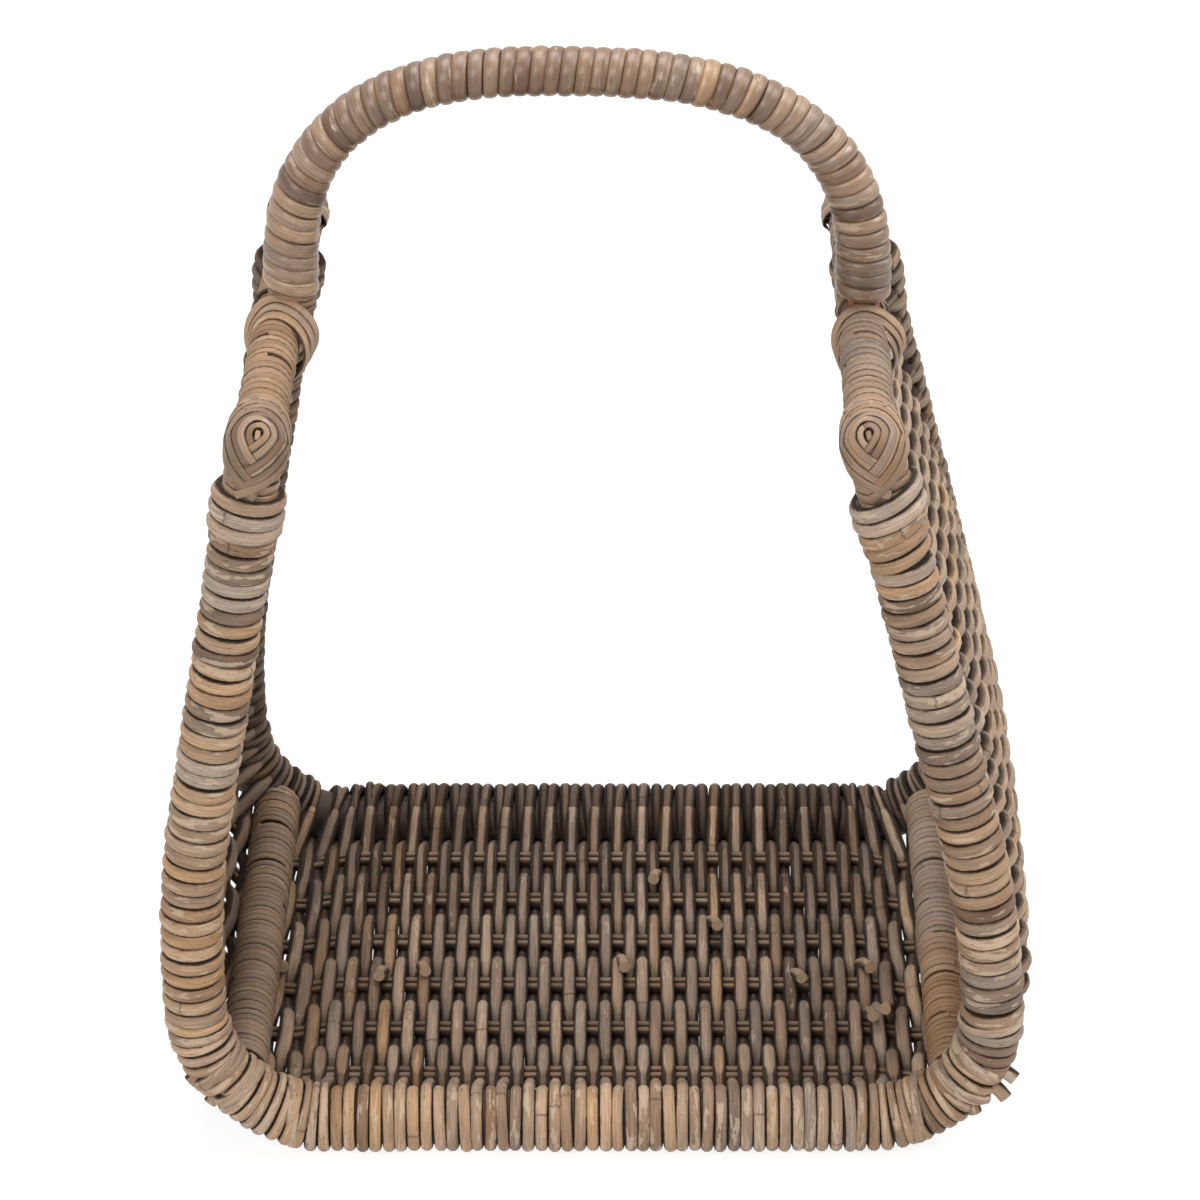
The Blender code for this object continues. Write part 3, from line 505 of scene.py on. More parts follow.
class Strands:
    """Gathers swept lengths of cane into one mesh, with what the finishes need to know of each."""

    # Tone and warmth of the strand's colour; place over its width and over its thickness;
    # 1 on a cut end; how much its skin flakes; how much painted shade it takes, for lying deep
    # between other strands or towards the back of the floor
    labels = ("cane_tone", "cane_warmth", "cane_flank", "cane_crown", "cane_cut", "cane_flake",
              "cane_hollow")
    rounding_step = 0.55
    rounding_share = 0.66
    tip_step = 0.25

    def __init__(self, seed):
        self.chance = np.random.RandomState(seed)
        self.corners, self.quads, self.triangles, self.space = [], [], [], []
        self.values = [[] for _ in self.labels]
        self.count = 0

    def _keep(self, corners, space, looks, flank, crown, cut, hollow):
        """Adds corners with their values, and gives the number of the first."""
        first = self.count
        self.corners.append(corners)
        self.space.append(space)
        tone, warmth, flake = looks
        for rows, value in zip(self.values, (tone, warmth, flank, crown, cut, flake, hollow)):
            rows.append(np.broadcast_to(np.asarray(value, dtype=float), len(corners)))
        self.count += len(corners)
        return first

    def lay(self, path, outward, half_width, half_thick, tone, warmth, **options):
        """Sweeps one strand; outward says which way its thickness goes at each point.

        The options are sides and squareness of the section, begin for the walk at the start,
        cut for which ends are cut off flat, hollow and behind for how deep it lies, as painted
        shade, on its outward side and on the other, and clean_flanks to keep that shade off the
        flanks.
        """
        sides = options.get("sides", STRAND_SIDES)
        squareness = options.get("squareness", 1.0)
        looks = (tone, warmth, self.chance.uniform(-0.5, 0.5) ** 3 * 4)
        path = np.asarray(path, dtype=float)
        outward = np.broadcast_to(np.asarray(outward, dtype=float), path.shape)
        along = unit(np.gradient(path, axis=0))
        across = unit(np.cross(along, outward))
        walks = np.concatenate(([0.0], np.cumsum(np.linalg.norm(np.diff(path, axis=0), axis=1))))
        walks = walks + options.get("begin", self.chance.uniform(0, 40))
        rows = {"path": path, "along": along, "across": across, "out": np.cross(across, along),
                "walks": walks}
        hollow = options.get("hollow", 0.0)
        for label, row in (("half_width", half_width), ("half_thick", half_thick),
                           ("hollow", hollow), ("behind", options.get("behind", hollow))):
            rows[label] = np.broadcast_to(np.asarray(row, dtype=float), len(path))
        cut = options.get("cut", (False, False))
        for which in (0, 1):
            if not cut[which]:
                rows = self._round_off(rows, which)
        angles = 2 * math.pi * np.arange(sides) / sides
        flank = np.sign(np.cos(angles)) * np.abs(np.cos(angles)) ** squareness
        crown = np.sign(np.sin(angles)) * np.abs(np.sin(angles)) ** squareness
        wide = rows["half_width"][:, None] * flank
        thick = rows["half_thick"][:, None] * crown
        rings = (rows["path"][:, None, :] + rows["across"][:, None, :] * wide[..., None]
                 + rows["out"][:, None, :] * thick[..., None])
        shift = self.chance.uniform(0, 5)
        walks = np.broadcast_to(rows["walks"][:, None], wide.shape)
        space = np.stack((walks, wide + shift, thick + shift), axis=-1)
        inner, outer = (1 + crown) / 2, (1 - crown) / 2
        if options.get("clean_flanks", False):
            inner, outer = np.clip(crown, 0, 1), np.clip(-crown, 0, 1)
        depth = np.outer(rows["hollow"], inner) + np.outer(rows["behind"], outer)
        count = len(rings)
        first = self._keep(rings.reshape(-1, 3), space.reshape(-1, 3), looks,
                           np.tile(flank, count), np.tile(crown, count), 0.0, depth.ravel())
        ring = first + np.arange(count - 1)[:, None] * sides
        here, after = np.arange(sides), np.roll(np.arange(sides), -1)
        quads = (ring + here, ring + sides + here, ring + sides + after, ring + after)
        self.quads.append(np.stack(quads, axis=-1).reshape(-1, 4))
        for which, index in ((0, 0), (1, count - 1)):
            end = {label: row[index] for label, row in rows.items()}
            self._close(rings[index], space[index], end, which, cut[which], looks,
                        first + index * sides)

    def _round_off(self, rows, which):
        """Adds a smaller ring past one end of a strand."""
        last = -1 if which else 0
        step = rows["half_thick"][last] * self.rounding_step * (1 if which else -1)
        moved = {"path": rows["along"][last] * step, "walks": step}
        longer = {}
        for label, row in rows.items():
            ring = row[last: last + 1 or None] + moved.get(label, 0.0)
            if label in ("half_width", "half_thick"):
                ring = ring * self.rounding_share
            longer[label] = np.concatenate((row, ring) if which else (ring, row))
        return longer

    def _close(self, ring, space, end, which, cut, looks, start):
        """Closes one end of a strand, flat where it is cut and with a low tip where it isn't."""
        sides = len(ring)
        if cut:
            corners = np.vstack((ring, end["path"]))
            space = np.vstack((space, space.mean(axis=0)))
            start = self._keep(corners, space, looks, 0.0, 1.0, 1.0, 0.0)
            tip = start + sides
        else:
            step = end["along"] * (1 if which else -1) * end["half_thick"] * self.tip_step
            tip = self._keep((end["path"] + step)[None, :], space[:1], looks, 0.0, 1.0, 0.0, 0.0)
        here = start + np.arange(sides)
        after = np.roll(here, -1)
        pair = (after, here) if which else (here, after)
        self.triangles.append(np.stack((np.full(sides, tip), *pair), axis=1))

    def make(self, name, material, slot, node):
        """Turns the strands into one piece that stands for a node of the model."""
        mesh = bpy.data.meshes.new(name)
        corners = np.vstack(self.corners)
        quads, triangles = np.vstack(self.quads), np.vstack(self.triangles)
        mesh.vertices.add(len(corners))
        mesh.vertices.foreach_set("co", corners.ravel())
        loops = np.concatenate((quads.ravel(), triangles.ravel()))
        mesh.loops.add(len(loops))
        mesh.loops.foreach_set("vertex_index", loops.astype(np.int32))
        starts = np.concatenate((np.arange(len(quads)) * 4,
                                 len(quads) * 4 + np.arange(len(triangles)) * 3))
        mesh.polygons.add(len(starts))
        mesh.polygons.foreach_set("loop_start", starts.astype(np.int32))
        mesh.polygons.foreach_set("use_smooth", np.ones(len(starts), dtype=bool))
        space = mesh.attributes.new("cane_space", "FLOAT_VECTOR", "POINT")
        space.data.foreach_set("vector", np.vstack(self.space).astype(np.float32).ravel())
        for label, values in zip(self.labels, self.values):
            layer = mesh.attributes.new(label, "FLOAT", "POINT")
            layer.data.foreach_set("value", np.concatenate(values).astype(np.float32))
        mesh.update(calc_edges=True)
        mesh.validate(clean_customdata=False)
        piece = bpy.data.objects.new(name, mesh)
        bpy.context.scene.collection.objects.link(piece)
        piece.data.materials.append(material)
        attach(piece, "root")
        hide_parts(node)
        return piece


# ---------------------------------------------------------------- shader groups


NUMBER, COLOUR = "NodeSocketFloat", "NodeSocketColor"


def new_group(name, kind, inputs, outputs):
    """A shader node group with named sockets of one kind, ready to be filled."""
    group = bpy.data.node_groups.new(name, "ShaderNodeTree")
    for label, value in inputs.items():
        socket = group.interface.new_socket(label, in_out="INPUT", socket_type=kind)
        socket.default_value = value
    for label in outputs:
        group.interface.new_socket(label, in_out="OUTPUT", socket_type=kind)
    enter = group.nodes.new("NodeGroupInput")
    leave = group.nodes.new("NodeGroupOutput")
    enter.location, leave.location = (-900, 0), (900, 0)
    return group, enter.outputs, leave.inputs


def node_location(place):
    """Where a node stands in the editor, for its column and row."""
    return place[0] * 180 - 700, -place[1] * 170


def add_node(tree, kind, place, values=None, **settings):
    """A node with its settings, and its inputs given as values or as links."""
    node = tree.nodes.new(kind)
    node.location = node_location(place)
    for label, value in settings.items():
        setattr(node, label, value)
    for label, value in (values or {}).items():
        if isinstance(value, bpy.types.NodeSocket):
            tree.links.new(value, node.inputs[label])
        else:
            node.inputs[label].default_value = value
    return node


def math_node(tree, operation, place, *values):
    """A Math node's output."""
    values = dict(enumerate(values))
    return add_node(tree, "ShaderNodeMath", place, values, operation=operation).outputs[0]


def mix_colours(tree, place, share, first, second, blend_type="MIX"):
    """A colour Mix node's output."""
    values = {0: share, 6: first, 7: second}
    node = add_node(tree, "ShaderNodeMix", place, values, data_type="RGBA", blend_type=blend_type)
    return node.outputs[2]


def ramp_value(tree, place, value, low, high, first=0.0, second=1.0):
    """A value eased from one number to another between two limits."""
    values = {"Value": value, "From Min": low, "From Max": high, "To Min": first, "To Max": second}
    node = add_node(tree, "ShaderNodeMapRange", place, values, interpolation_type="SMOOTHSTEP")
    return node.outputs[0]


def cane_value(tree, label, place):
    """What the strands know about themselves under a label."""
    return add_node(tree, "ShaderNodeAttribute", place, attribute_name=label).outputs["Fac"]


def stretched_noise(tree, place, along_scale, across_scale, detail=3.0, roughness=0.6):
    """Noise that is drawn out along the cane."""
    space = add_node(tree, "ShaderNodeAttribute", place, attribute_name="cane_space")
    space = space.outputs["Vector"]
    scale = add_node(tree, "ShaderNodeCombineXYZ", (place[0], place[1] + 1),
                     {0: along_scale, 1: across_scale, 2: across_scale}).outputs[0]
    vector = add_node(tree, "ShaderNodeVectorMath", (place[0] + 1, place[1]),
                      {0: space, 1: scale}, operation="MULTIPLY").outputs[0]
    values = {"Vector": vector, "Scale": 1.0, "Detail": detail, "Roughness": roughness}
    return add_node(tree, "ShaderNodeTexNoise", (place[0] + 2, place[1]), values).outputs[0]


def within_one(tree, column, row, value):
    """A value kept between 0 and 1."""
    floor = math_node(tree, "MAXIMUM", (column, row + 1), value, 0.0)
    return math_node(tree, "MINIMUM", (column, row), floor, 1.0)


def make_tint_group():
    """Each strand's own colour, between dark and pale and between ashen and honey."""
    group, enter, leave = new_group("strand_tint", COLOUR, {
        "Ashen Dark": (0.1, 0.08, 0.06, 1), "Ashen Pale": (0.4, 0.35, 0.3, 1),
        "Honey Dark": (0.2, 0.1, 0.05, 1), "Honey Pale": (0.5, 0.35, 0.2, 1),
    }, ("Colour",))
    tone = cane_value(group, "cane_tone", (0, 1))
    warmth = cane_value(group, "cane_warmth", (0, 2))
    drift = stretched_noise(group, (0, 3), 28.0, 130.0, 2.0)
    drift = math_node(group, "MULTIPLY_ADD", (3, 3), drift, 0.7, -0.35)
    tone = within_one(group, 4, 1, math_node(group, "ADD", (3, 1), tone, drift))
    slow = stretched_noise(group, (0, 6), 11.0, 40.0, 1.0)
    slow = math_node(group, "MULTIPLY_ADD", (3, 6), slow, 0.8, -0.4)
    warmth = within_one(group, 4, 3, math_node(group, "ADD", (3, 2), warmth, slow))
    ashen = mix_colours(group, (5, 0), tone, enter["Ashen Dark"], enter["Ashen Pale"])
    honey = mix_colours(group, (5, 2), tone, enter["Honey Dark"], enter["Honey Pale"])
    group.links.new(mix_colours(group, (6, 1), warmth, ashen, honey), leave["Colour"])
    return group


def make_fibre_group():
    """Fine grain along the cane: light and dark streaks, and short dark specks."""
    group, enter, leave = new_group("cane_fibre", NUMBER, {"Along": 70.0, "Across": 1500.0},
                                    ("Streak", "Speck"))
    streak = stretched_noise(group, (0, 0), enter["Along"], enter["Across"], 4.0, 0.65)
    group.links.new(ramp_value(group, (4, 0), streak, 0.3, 0.7), leave["Streak"])
    short = math_node(group, "MULTIPLY", (0, 3), enter["Along"], 4.0)
    thin = math_node(group, "MULTIPLY", (0, 4), enter["Across"], 0.8)
    speck = stretched_noise(group, (1, 4), short, thin, 2.0)
    group.links.new(ramp_value(group, (4, 3), speck, 0.66, 0.74), leave["Speck"])
    return group


def make_skin_group():
    """Patches of pale skin that is flaking off the cane."""
    group, enter, leave = new_group("flaking_skin", NUMBER, {"Cover": 0.45, "Along": 70.0},
                                    ("Patch",))
    wide = math_node(group, "MULTIPLY", (0, 2), enter["Along"], 3.5)
    patch = stretched_noise(group, (1, 0), enter["Along"], wide, 2.0)
    fine = stretched_noise(group, (1, 3), 380.0, 900.0, 4.0, 0.7)
    both = math_node(group, "MULTIPLY_ADD", (4, 1), fine, 0.32, patch)
    flake = cane_value(group, "cane_flake", (2, 2))
    cover = math_node(group, "MULTIPLY_ADD", (3, 2), flake, 0.22, enter["Cover"])
    low = math_node(group, "SUBTRACT", (4, 2), 1.16, cover)
    high = math_node(group, "ADD", (5, 2), low, 0.035)
    group.links.new(ramp_value(group, (6, 1), both, low, high), leave["Patch"])
    return group


def make_node_ring_group():
    """The ring that every cane has at its leaf nodes."""
    group, enter, leave = new_group("leaf_node_ring", NUMBER, {"Spacing": 0.14, "Width": 0.0007},
                                    ("Ring", "Swell"))
    space = add_node(group, "ShaderNodeAttribute", (0, 0), attribute_name="cane_space")
    parts = add_node(group, "ShaderNodeSeparateXYZ", (1, 0), {0: space.outputs["Vector"]}).outputs
    wander = stretched_noise(group, (0, 2), 0.0, 700.0, 2.0)
    walk = math_node(group, "MULTIPLY_ADD", (3, 1), wander, 0.0035, parts[0])
    share = math_node(group, "DIVIDE", (4, 1), walk, enter["Spacing"])
    share = math_node(group, "FRACT", (5, 1), share)
    away = math_node(group, "ABSOLUTE", (5, 2), math_node(group, "SUBTRACT", (5, 3), share, 0.5))
    away = math_node(group, "MULTIPLY", (6, 2), away, enter["Spacing"])
    ring = ramp_value(group, (7, 1), away, 0.0, enter["Width"], 1.0, 0.0)
    group.links.new(ring, leave["Ring"])
    wide = math_node(group, "MULTIPLY", (6, 4), enter["Width"], 5.0)
    group.links.new(ramp_value(group, (7, 3), away, 0.0, wide, 1.0, 0.0), leave["Swell"])
    return group


def make_dirt_and_shade_group():
    """Painted shade, with some dust, where a strand meets the ones beside it, on its underside and
    where it lies deep among other strands.
    """
    group, enter, leave = new_group("crevice_dirt_and_shade", NUMBER,
                                    {"Reach": 0.62, "Full": 1.02, "Under": 1.0}, ("Dirt And Shade",))
    flank = math_node(group, "ABSOLUTE", (1, 0), cane_value(group, "cane_flank", (0, 0)))
    crumbs = stretched_noise(group, (0, 2), 140.0, 600.0, 3.0)
    crumbs = math_node(group, "SUBTRACT", (3, 1), crumbs, 0.5)
    flank = math_node(group, "MULTIPLY_ADD", (4, 0), crumbs, 0.3, flank)
    # Painted shade: deep places widen the dark flanks and darken the whole strand
    hollow = cane_value(group, "cane_hollow", (0, 7))
    flank = math_node(group, "MULTIPLY_ADD", (5, 0), hollow, 0.75, flank)
    edge = ramp_value(group, (6, 0), flank, enter["Reach"], enter["Full"])
    # Painted shade on the underside of the strand
    under = ramp_value(group, (5, 3), cane_value(group, "cane_crown", (0, 5)), -0.2, -0.95)
    under = math_node(group, "MULTIPLY", (6, 3), under, enter["Under"])
    deep = ramp_value(group, (6, 5), hollow, 0.3, 1.0, 0.0, 0.8)
    worst = math_node(group, "MAXIMUM", (7, 2), under, deep)
    group.links.new(math_node(group, "MAXIMUM", (8, 1), edge, worst), leave["Dirt And Shade"])
    return group


def get_group(name):
    """A shader group, made the first time that it is asked for."""
    makers = {
        "strand_tint": make_tint_group,
        "cane_fibre": make_fibre_group,
        "flaking_skin": make_skin_group,
        "leaf_node_ring": make_node_ring_group,
        "crevice_dirt_and_shade": make_dirt_and_shade_group,
    }
    return bpy.data.node_groups.get(name) or makers[name]()


def use_group(tree, name, place, **values):
    """The outputs of a node group placed in a material with the material's own values."""
    node = tree.nodes.new("ShaderNodeGroup")
    node.node_tree = get_group(name)
    node.location = node_location(place)
    for label, value in values.items():
        node.inputs[label.replace("_", " ").title()].default_value = value
    return node.outputs


# ---------------------------------------------------------------- finishes


def start_material(name):
    """An empty node material with its output and its Principled shader."""
    material = bpy.data.materials.new(name)
    material.use_nodes = True
    tree = material.node_tree
    tree.nodes.clear()
    output = tree.nodes.new("ShaderNodeOutputMaterial")
    shader = tree.nodes.new("ShaderNodeBsdfPrincipled")
    output.location, shader.location = (1600, 0), (1300, 0)
    tree.links.new(shader.outputs[0], output.inputs["Surface"])
    return material, tree, shader


def opaque(colour):
    """A colour property as a node colour."""
    return (colour[0], colour[1], colour[2], 1.0)


def cane_finish(name):
    """Weathered cane: tinted strands with grain, flaking skin, leaf nodes, and flanks darkened with
    dust and painted shade.
    """
    found = bpy.data.materials.get(name)
    if found:
        return found
    look = dict(BASE_LOOK, **LOOKS[name])
    colours = bpy.context.scene.trug_colours
    material, tree, shader = start_material(name)
    tint = use_group(tree, "strand_tint", (0, 0), **{
        label: opaque(getattr(colours, label))
        for label in ("ashen_dark", "ashen_pale", "honey_dark", "honey_pale")})
    fibre = use_group(tree, "cane_fibre", (0, 2), along=look["along"], across=look["across"])
    skin = use_group(tree, "flaking_skin", (0, 3), cover=look["skin"], along=look["patch"])
    node_ring = use_group(tree, "leaf_node_ring", (0, 4), spacing=look["spacing"])
    dirt_and_shade = use_group(tree, "crevice_dirt_and_shade", (0, 5), reach=look["reach"], full=look["full"],
                     under=look["under"])
    cut = cane_value(tree, "cane_cut", (7, 3))
    grain = ramp_value(tree, (1, 1), fibre["Streak"], 0.0, 1.0,
                       look["dark_grain"], look["pale_grain"])
    shade = add_node(tree, "ShaderNodeCombineColor", (2, 1), {0: grain, 1: grain, 2: grain})
    colour = mix_colours(tree, (3, 0), 1.0, tint["Colour"], shade.outputs[0], "MULTIPLY")
    layers = (
        (skin["Patch"], look["skin_strength"], colours.skin),
        (fibre["Speck"], look["speck_strength"], colours.soil_and_shade),
        (node_ring["Ring"], look["ring_strength"], colours.soil_and_shade),
        # Painted shade, with some dust: flanks, undersides and deep places darken towards the soil
        # colour
        (dirt_and_shade["Dirt And Shade"], look["dirt_and_shade_strength"], colours.soil_and_shade),
        (cut, look["cut_strength"], colours.cut_end),
    )
    for column, (mask, strength, over) in enumerate(layers, start=4):
        share = math_node(tree, "MULTIPLY", (column - 1, 3), mask, strength)
        colour = mix_colours(tree, (column, 0), share, colour, opaque(over))
    tree.links.new(colour, shader.inputs["Base Color"])
    rough = look["roughness"]
    parts = ((skin["Patch"], look["skin_gloss"]), (fibre["Streak"], 0.1), (dirt_and_shade["Dirt And Shade"], 0.3))
    for column, (mask, more) in enumerate(parts, start=7):
        rough = math_node(tree, "MULTIPLY_ADD", (column, 4), mask, more, rough)
    tree.links.new(rough, shader.inputs["Roughness"])
    height = math_node(tree, "MULTIPLY", (6, 6), skin["Patch"], look["skin_depth"])
    parts = ((fibre["Streak"], look["grain_depth"]), (node_ring["Swell"], 0.9),
             (node_ring["Ring"], -0.9))
    for column, (mask, more) in enumerate(parts, start=7):
        height = math_node(tree, "MULTIPLY_ADD", (column, 6), mask, more, height)
    bump = add_node(tree, "ShaderNodeBump", (10, 6),
                    {"Height": height, "Strength": 0.8, "Distance": look["bump"]})
    tree.links.new(bump.outputs[0], shader.inputs["Normal"])
    shader.inputs["Specular IOR Level"].default_value = look["gloss"]
    shader.inputs["Coat Weight"].default_value = look["coat"]
    shader.inputs["Coat Roughness"].default_value = 0.35
    return material


BASE_LOOK = {
    "along": 70.0, "across": 1500.0, "patch": 70.0, "spacing": 0.21, "reach": 0.62, "full": 1.02,
    "skin": 0.43, "dark_grain": 0.74, "pale_grain": 1.14, "skin_strength": 0.7,
    "speck_strength": 0.55, "ring_strength": 0.6, "dirt_and_shade_strength": 0.85, "cut_strength": 0.7,
    "under": 1.0, "roughness": 0.52, "skin_gloss": -0.12, "grain_depth": 0.45,
    "skin_depth": 0.45, "bump": 0.0004, "gloss": 0.4, "coat": 0.0,
}


# In each look, reach, full and the strength of the dark flanks set how far and how dark dust and
# painted shade gather between the strands
LOOKS = {
    # Round cane on the front rim: honey and ashen turns with flaking skin, and dark painted shade
    # in the grooves between them
    "rim_cane": {"skin_strength": 0.6, "reach": 0.72, "full": 0.91, "dirt_and_shade_strength": 0.97,
                 "speck_strength": 0.85},
    # Round cane on the back rim: a duller, darker copy of the front one, darkened with painted
    # shade as the back rim lies in shade
    "shaded_back_rim_cane": {"skin": 0.36, "skin_strength": 0.15, "dark_grain": 0.46, "pale_grain": 0.77,
                      "reach": 0.5, "dirt_and_shade_strength": 0.93, "roughness": 0.6, "gloss": 0.3},
    # Round cane of the weave: greyer and duller than the rims, with strong painted shade between
    # the strands
    "weave_cane": {"skin": 0.36, "skin_strength": 0.4, "dirt_and_shade_strength": 0.9, "reach": 0.6,
                   "spacing": 0.17, "roughness": 0.58, "gloss": 0.3, "under": 0.0},
    # Flat peel of the caps and lashings
    "flat_peel": {"along": 45.0, "across": 1900.0, "skin": 0.33, "skin_strength": 0.4,
                  "reach": 0.66, "dirt_and_shade_strength": 0.95, "spacing": 0.6, "roughness": 0.46,
                  "gloss": 0.45, "grain_depth": 0.3, "bump": 0.0003},
    # Fine peel wound round the bars and corner poles
    "fine_winding": {"along": 30.0, "across": 2600.0, "skin": 0.34, "skin_strength": 0.35,
                     "reach": 0.7, "dirt_and_shade_strength": 0.7, "spacing": 0.9, "roughness": 0.5,
                     "gloss": 0.35, "grain_depth": 0.35, "bump": 0.0003},
    # Thick round cane of the handle, polished by hands
    "handle_cane": {"along": 40.0, "across": 1100.0, "skin": 0.36, "skin_strength": 0.4,
                    "reach": 0.84, "dirt_and_shade_strength": 0.75, "roughness": 0.36, "gloss": 0.55,
                    "coat": 0.3, "grain_depth": 0.28, "bump": 0.0003, "spacing": 0.5},
    # Thin split canes of the stakes, darkened over nearly their whole width with painted shade, as
    # they lie in the weavers' shadow
    "stake_cane": {"along": 40.0, "across": 2000.0, "skin": 0.3, "skin_strength": 0.3,
                   "reach": 0.12, "spacing": 0.35, "roughness": 0.6, "gloss": 0.25,
                   "dirt_and_shade_strength": 0.93, "under": 0.0},
}


def pole_finish(name="shaded_bare_pole"):
    """Bare pole that shows between the turns: brown with painted shade for poles deep in the
    windings, or orange as where the light reaches it, for the handle's feet.
    """
    found = bpy.data.materials.get(name)
    if found:
        return found
    colours = bpy.context.scene.trug_colours
    material, tree, shader = start_material(name)
    # Painted light and shade: the orange copy is the lit pole, the brown one the shaded pole
    pale = colours.core_orange if name == "lit_orange_pole" else colours.core_pale
    place = add_node(tree, "ShaderNodeTexCoord", (0, 0)).outputs["Object"]
    values = {"Vector": place, "Scale": 260.0, "Detail": 4.0}
    noise = add_node(tree, "ShaderNodeTexNoise", (1, 0), values).outputs[0]
    share = ramp_value(tree, (2, 0), noise, 0.3, 0.7)
    colour = mix_colours(tree, (3, 0), share, opaque(colours.core_dark), opaque(pale))
    tree.links.new(colour, shader.inputs["Base Color"])
    rough = ramp_value(tree, (3, 2), noise, 0.3, 0.7, 0.6, 0.75)
    tree.links.new(rough, shader.inputs["Roughness"])
    bump = add_node(tree, "ShaderNodeBump", (4, 3),
                    {"Height": noise, "Strength": 0.5, "Distance": 0.0003})
    tree.links.new(bump.outputs[0], shader.inputs["Normal"])
    return material


# ---------------------------------------------------------------- winding and weaving


def weaver_stations(sizes):
    """Signed stations of the weavers, from the top of the left side to the top of the right."""
    rail = frame_rail(BACK)
    walk = rail.walk_at(0.0) + sizes.floor_pitch / 2
    right = []
    while walk < rail.length - sizes.top_gap:
        station = rail.station(walk)
        right.append(station)
        pitch = sizes.floor_pitch if station < 1 else sizes.corner_pitch
        walk += sizes.side_pitch if station > SIDE_START else pitch
    return [-station for station in reversed(right)] + right


def turn_round(rail, walk, end, last, inside, sizes, chance):
    """A strand's end: a straight run to the pole, most of a turn round it and a tucked tip."""
    station = rail.station(walk)
    lean = 0.0
    if end == BACK and abs(station) < BACK_LEAN_EDGE:
        lean = float(np.interp(rail.place(walk)[0][0], BACK_LEAN_PLACES, BACK_LEANS))
    middle, along, outward, _ = rail.place(walk)
    endward = unit(np.cross(along, outward))
    if endward[1] * end < 0:
        endward = -endward
    radius = wrap_radius(station) - sizes.wrap_half_thick + chance.uniform(-0.0004, 0.0003)
    from_top = min(walk, rail.length - walk)
    radius += UNDER_CAP_RISE * (1 - smooth((from_top - 0.034) / 0.022))
    ahead, aside = (last - middle) @ endward, (last - middle) @ outward
    slack = math.acos(min(radius / math.hypot(aside, ahead), 1.0))
    way, sweep = (1, INSIDE_TURN) if inside else (-1, OUTSIDE_TURN)
    start = math.atan2(aside, ahead) + way * slack
    angles = start + way * np.linspace(0, sweep, TURN_SAMPLES)
    shares = shares_of(angles)
    curve = rail.curve_at(walk)
    inner = np.clip(-np.sin(angles), 0, 1)
    radii = np.full(TURN_SAMPLES, radius)
    if not inside and curve > 5:
        radii += CORNER_LIFT * inner
    if not inside and abs(station) < 1.4:
        radii -= UNDER_TUCK * np.clip((shares - 0.62) / 0.25, 0, 1)
    radii -= TIP_TUCK * np.clip((shares - 0.86) / 0.14, 0, 1) ** 1.5
    radii -= CORNER_TUCK * near_corner(station, CORNER_MIDDLE, 0.5) * np.clip(np.sin(angles), 0, 1)
    if end == BACK:
        radii += BACK_RIM_RISE * smooth((1.3 - abs(station)) / 0.3) * inner ** 2
    tilt = chance.normal(0, 0.03) * radius
    cross = CROSSING_SLANT * radius if end == FRONT and station > CROSSING_START else 0.0
    drift = chance.uniform(-0.0003, 0.0003)
    slide = (tilt * np.sin(angles + chance.uniform(0, 6)) + drift + cross * np.sin(angles)
             + lean * np.clip(0.35 + shares / 0.4, 0, 1))
    radial = around(angles, endward, outward)
    points = middle + radial * radii[:, None] + slide[:, None] * along
    edge = REACH[1] - sizes.wrap_half_thick
    points[:, 1] = np.clip(points[:, 1], -edge, edge)
    points[:, 2] = np.maximum(points[:, 2], sizes.wrap_half_thick + GROUND_GAP)
    if abs(station) > SIDE_START:
        pitch = sizes.side_pitch
    elif abs(station) > 1:
        pitch = sizes.corner_pitch * (1 + curve * radius * np.sin(angles))
    else:
        pitch = sizes.floor_pitch
    widths = sizes.wrap_width_share * pitch * (1 + chance.normal(0, 0.03)) * np.ones(TURN_SAMPLES)
    run = np.array([last + (points[0] - last) * share for share in RUN_SHARES])
    return run, points, radial, widths


def ease(path, free, rounds=2):
    """Rounds off the kinks of a path where it is free to move."""
    path = path.copy()
    for _ in range(rounds):
        middle = (path[:-2] + 2 * path[1:-1] + path[2:]) / 4
        path[1:-1] += (middle - path[1:-1]) * free[1:-1, None]
    return path


def weave_length(station, parity, shares, along, sizes, chance):
    """A weaver's path between the rims, and on which side of the stakes it lies along it."""
    height = sizes.wave_height * chance.uniform(*HEIGHT_RANGE)
    height *= blend(1.0, TOP_FLATTENING, (abs(station) - 4.3) / 0.6)
    height *= 1 - CORNER_FLATTENING * near_corner(station, 1.35, 0.6)
    swing = np.cos(math.pi * stakes_passed(shares))
    wave = parity * np.tanh(WAVE_STEEPNESS * swing) / math.tanh(WAVE_STEEPNESS)
    sway = SWAY * np.sin(shares * chance.uniform(8, 20) + chance.uniform(0, 6))
    woven = np.array([weave_point(station, share) for share in shares])
    woven += outward_at(station) * (wave * height)[:, None] + along * sway[:, None]
    edge = REACH[0] - sizes.cane_radius * REACH_MARGIN
    woven[:, 0] = np.clip(woven[:, 0], -edge, edge)
    woven[:, 2] = np.maximum(woven[:, 2], sizes.cane_radius + 0.0003)
    return woven, wave


def stakes_passed(shares):
    """How many stakes lie before each share of the way from front to back."""
    return (shares - stake_share(0)) / (stake_share(1) - stake_share(0))


def weave_depths(station, parity, shares, woven, wave):
    """Painted shade on a weaver's upper and lower sides: more where it lies deep among its
    neighbours, and towards the back of the floor.
    """
    turns = np.mod((parity > 0) - stakes_passed(shares), 2)
    hollow = np.interp(turns, HOLLOW_PLACES, HOLLOW_DEPTHS)
    # Painted shade: floor weavers grow darker towards the back
    if abs(station) < FLOOR_EDGE:
        back_shade = BACK_SHADE * np.clip((woven[:, 1] - BACK_SHADE_START) / BACK_SHADE_RUN, 0, 1)
        hollow = np.maximum(hollow, back_shade)
    return hollow, 0.8 * np.clip((-0.15 - wave) / 0.8, 0, 1)


